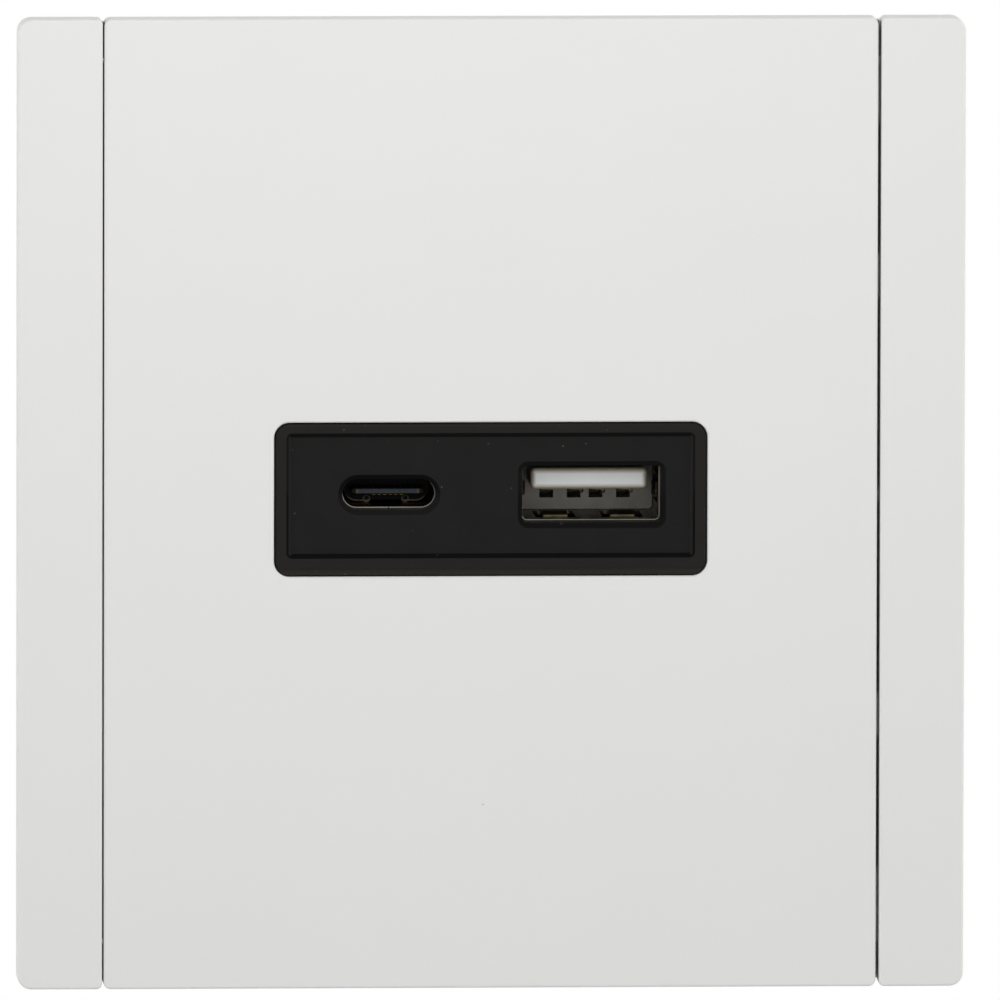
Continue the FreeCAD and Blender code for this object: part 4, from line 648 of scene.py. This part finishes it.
# The front of the housing, with the nose that shows in the plate. Black polycarbonate moulded in
# a fine matt tool. Painted shade makes the mouths of the ports and the bevels round the panel
# deeper black, changing with height, a painted highlight lies at the foot of the bevels at the
# panel's ends, and a painted reflection makes the lower step of the rim lighter and warm. A few
# specks of dust lie on it.
front_black, tree, shader = new_material("matt_black_polycarbonate")
matt_mm = 0.16
wisp_mm = 4.0
dust_cell_mm = 2.2
dust_mm = 0.09
dust_core = 0.5
rim_depth = 0.0002
lip_depth = 0.0001
panel_centre = (0.0, 0.75)
panel_size = (37.1, 11.4)
panel_corner = 0.5
panel_slope = 0.4
panel_margin = 0.02
foot_start = 0.7
foot_end = 0.3
tilt_limit = -0.95
fade_low = 0.0003
fade_high = 0.0014
dust_share = 0.28
place = add(tree, "ShaderNodeTexCoord").outputs["Object"]
matt = add(tree, "ShaderNodeTexNoise", {
    "Vector": place, "Scale": 1000 / matt_mm, "Detail": 2.0,
}).outputs["Fac"]
wisp = add(tree, "ShaderNodeTexNoise", {
    "Vector": place, "Scale": 1000 / wisp_mm, "Detail": 3.0,
}).outputs["Fac"]
matt_black = add(tree, "ShaderNodeMix", {
    0: wisp, 6: linear("#1B1B1B"), 7: linear("#212121"),
}, data_type="RGBA").outputs[2]
rim_black = add(tree, "ShaderNodeMix", {
    0: wisp, 6: linear("#222120"), 7: linear("#262524"),
}, data_type="RGBA").outputs[2]
flat = add(tree, "ShaderNodeSeparateXYZ", {"Vector": place}).outputs
sunk = add(tree, "ShaderNodeMath", {
    0: flat["Y"], 1: plate_front + rim_depth,
}, operation="GREATER_THAN").outputs[0]
facing = add(tree, "ShaderNodeSeparateXYZ", {
    "Vector": add(tree, "ShaderNodeNewGeometry").outputs["Normal"],
}).outputs["Y"]
tilted = add(tree, "ShaderNodeMath", {0: facing, 1: tilt_limit}, operation="GREATER_THAN").outputs[0]
# Painted shading by height, used on the mouths and the bevels below.
painted_shading_by_height = add(tree, "ShaderNodeMapRange", {
    "Value": flat["Z"], "From Min": fade_low, "From Max": fade_high,
}).outputs["Result"]
on_right = add(tree, "ShaderNodeMath", {0: flat["X"], 1: 0.0}, operation="GREATER_THAN").outputs[0]
# Painted shade on the mouths of the ports: the USB-C mouth darker towards its top, the USB-A mouth lighter
# towards it.
c_mouth = add(tree, "ShaderNodeMix", {
    0: painted_shading_by_height, 6: linear("#191919"), 7: linear("#101010"),
}, data_type="RGBA").outputs[2]
a_mouth = add(tree, "ShaderNodeMix", {
    0: painted_shading_by_height, 6: linear("#121212"), 7: linear("#171717"),
}, data_type="RGBA").outputs[2]
painted_mouth_shade = add(tree, "ShaderNodeMix", {
    0: on_right, 6: c_mouth, 7: a_mouth,
}, data_type="RGBA").outputs[2]
inner_black = add(tree, "ShaderNodeMix", {
    0: tilted, 6: matt_black, 7: painted_mouth_shade,
}, data_type="RGBA").outputs[2]
past_panel = outline_distance(tree, place, panel_centre, panel_size, panel_corner)
# Painted highlight: a lighter line at the foot of the bevels at the panel's left and right ends.
painted_foot_highlight = add(tree, "ShaderNodeMapRange", {
    "Value": past_panel, "From Min": -panel_slope * foot_start, "From Max": -panel_slope * foot_end,
    "To Min": 1.0, "To Max": 0.0,
}).outputs["Result"]
aside = add(tree, "ShaderNodeMath", {0: flat["X"]}, operation="ABSOLUTE").outputs[0]
floor_edge = (panel_size[0] / 2 - panel_slope) / 1000
aside = add(tree, "ShaderNodeMath", {0: aside, 1: floor_edge}, operation="GREATER_THAN").outputs[0]
painted_foot_highlight = add(tree, "ShaderNodeMath", {0: painted_foot_highlight, 1: aside}, operation="MULTIPLY").outputs[0]
# Painted shade: the bevels round the panel are made deeper black, lighter towards the top.
painted_slope_shade = add(tree, "ShaderNodeMix", {
    0: painted_shading_by_height, 6: linear("#0C0C0C"), 7: linear("#151514"),
}, data_type="RGBA").outputs[2]
painted_slope_shade = add(tree, "ShaderNodeMix", {
    0: painted_foot_highlight, 6: painted_slope_shade, 7: linear("#262626"),
}, data_type="RGBA").outputs[2]
in_panel = add(tree, "ShaderNodeMath", {
    0: past_panel, 1: panel_margin,
}, operation="LESS_THAN").outputs[0]
outside = add(tree, "ShaderNodeMath", {
    0: past_panel, 1: -panel_slope - panel_margin,
}, operation="GREATER_THAN").outputs[0]
on_slope = add(tree, "ShaderNodeMath", {0: in_panel, 1: outside}, operation="MULTIPLY").outputs[0]
on_slope = add(tree, "ShaderNodeMath", {0: on_slope, 1: tilted}, operation="MULTIPLY").outputs[0]
# Painted reflection: the lower step of the rim is made lighter and warm.
painted_lip_reflection = add(tree, "ShaderNodeMath", {
    0: flat["Y"], 1: plate_front + lip_depth,
}, operation="GREATER_THAN").outputs[0]
outer_black = add(tree, "ShaderNodeMix", {
    0: painted_lip_reflection, 6: rim_black, 7: linear("#2B2924"),
}, data_type="RGBA").outputs[2]
black = add(tree, "ShaderNodeMix", {
    0: sunk, 6: outer_black, 7: inner_black,
}, data_type="RGBA").outputs[2]
black = add(tree, "ShaderNodeMix", {0: on_slope, 6: black, 7: painted_slope_shade}, data_type="RGBA").outputs[2]
flat = add(tree, "ShaderNodeCombineXYZ", {"X": flat["X"], "Y": flat["Z"]}).outputs["Vector"]
cells = add(tree, "ShaderNodeTexVoronoi", {
    "Vector": flat, "Scale": 1000 / dust_cell_mm,
}, voronoi_dimensions="2D").outputs
near = add(tree, "ShaderNodeMapRange", {
    "Value": cells["Distance"], "From Min": dust_core * dust_mm / dust_cell_mm,
    "From Max": dust_mm / dust_cell_mm, "To Min": 1.0, "To Max": 0.0,
}).outputs["Result"]
chance = add(tree, "ShaderNodeSeparateColor", {"Color": cells["Color"]}).outputs["Red"]
chosen = add(tree, "ShaderNodeMapRange", {
    "Value": chance, "From Min": 1 - dust_share, "From Max": 1.0,
}).outputs["Result"]
dust = add(tree, "ShaderNodeMath", {0: near, 1: chosen}, operation="MULTIPLY").outputs[0]
shade = add(tree, "ShaderNodeMix", {
    0: dust, 6: black, 7: linear("#4E4D4A"),
}, data_type="RGBA").outputs[2]
rough = add(tree, "ShaderNodeMapRange", {
    "Value": wisp, "To Min": 0.40, "To Max": 0.50,
}).outputs["Result"]
relief = add(tree, "ShaderNodeBump", {
    "Height": matt, "Strength": 0.35, "Distance": 0.00001,
}).outputs["Normal"]
tree.links.new(shade, shader.inputs["Base Color"])
tree.links.new(rough, shader.inputs["Roughness"])
tree.links.new(relief, shader.inputs["Normal"])
shader.inputs["Specular IOR Level"].default_value = 0.04
dress(front_black, "housing_front")

# The frame and the cover of the plate. Both are moulded from one white polycarbonate, with a
# soft satin face that is very slightly uneven. One grey speck lies in the cover's skin, and
# painted shade makes the walls of the two narrow gaps grey.
white, tree, shader = new_material("satin_white_polycarbonate")
sink_mm = 18.0
satin_mm = 0.2
speck_place = (-0.00066, 0.0, -0.0274)
speck_radius = 0.00009
gap_width = 0.0002
gap_margin = 0.00004
gap_shade_depth = 0.0002
cover_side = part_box("centre_cover")[1].x
place = add(tree, "ShaderNodeTexCoord").outputs["Object"]
sink = add(tree, "ShaderNodeTexNoise", {
    "Vector": place, "Scale": 1000 / sink_mm, "Detail": 2.0,
}).outputs["Fac"]
satin = add(tree, "ShaderNodeTexNoise", {
    "Vector": place, "Scale": 1000 / satin_mm, "Detail": 2.0,
}).outputs["Fac"]
shade = add(tree, "ShaderNodeMix", {
    0: sink, 6: linear("#E2E2E0"), 7: linear("#E4E4E2"),
}, data_type="RGBA").outputs[2]
speck = add(tree, "ShaderNodeVectorMath", {
    0: place, 1: (1.0, 0.0, 1.0),
}, operation="MULTIPLY").outputs["Vector"]
speck = add(tree, "ShaderNodeVectorMath", {
    0: speck, 1: speck_place,
}, operation="DISTANCE").outputs["Value"]
speck = add(tree, "ShaderNodeMapRange", {
    "Value": speck, "From Min": speck_radius / 2, "From Max": speck_radius, "To Min": 0.6, "To Max": 0.0,
}).outputs["Result"]
shade = add(tree, "ShaderNodeMix", {
    0: speck, 6: shade, 7: linear("#7E7C78"),
}, data_type="RGBA").outputs[2]
axes = add(tree, "ShaderNodeSeparateXYZ", {"Vector": place}).outputs
across = add(tree, "ShaderNodeMath", {0: axes["X"]}, operation="ABSOLUTE").outputs[0]
from_middle = add(tree, "ShaderNodeMath", {
    0: across, 1: cover_side + gap_width / 2,
}, operation="SUBTRACT").outputs[0]
from_middle = add(tree, "ShaderNodeMath", {0: from_middle}, operation="ABSOLUTE").outputs[0]
in_gap = add(tree, "ShaderNodeMath", {
    0: from_middle, 1: gap_width / 2 + gap_margin,
}, operation="LESS_THAN").outputs[0]
# Painted shade: the walls of the gaps turn grey from a fifth of a millimetre behind the face.
painted_gap_shade = add(tree, "ShaderNodeMapRange", {
    "Value": axes["Y"], "From Min": plate_front + gap_shade_depth, "From Max": plate_front + 2 * gap_shade_depth,
}).outputs["Result"]
painted_gap_shade = add(tree, "ShaderNodeMath", {0: painted_gap_shade, 1: in_gap}, operation="MULTIPLY").outputs[0]
shade = add(tree, "ShaderNodeMix", {
    0: painted_gap_shade, 6: shade, 7: linear("#6A6967"),
}, data_type="RGBA").outputs[2]
rough = add(tree, "ShaderNodeMapRange", {
    "Value": sink, "To Min": 0.36, "To Max": 0.42,
}).outputs["Result"]
relief = add(tree, "ShaderNodeBump", {
    "Height": satin, "Strength": 0.15, "Distance": 0.00001,
}).outputs["Normal"]
tree.links.new(shade, shader.inputs["Base Color"])
tree.links.new(rough, shader.inputs["Roughness"])
tree.links.new(relief, shader.inputs["Normal"])
shader.inputs["Specular IOR Level"].default_value = 0.2
dress(white, "surround_frame", "centre_cover")

# The box of the object before and after the finishing. Only materials are added, so it stays as
# it was packed.
low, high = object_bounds()
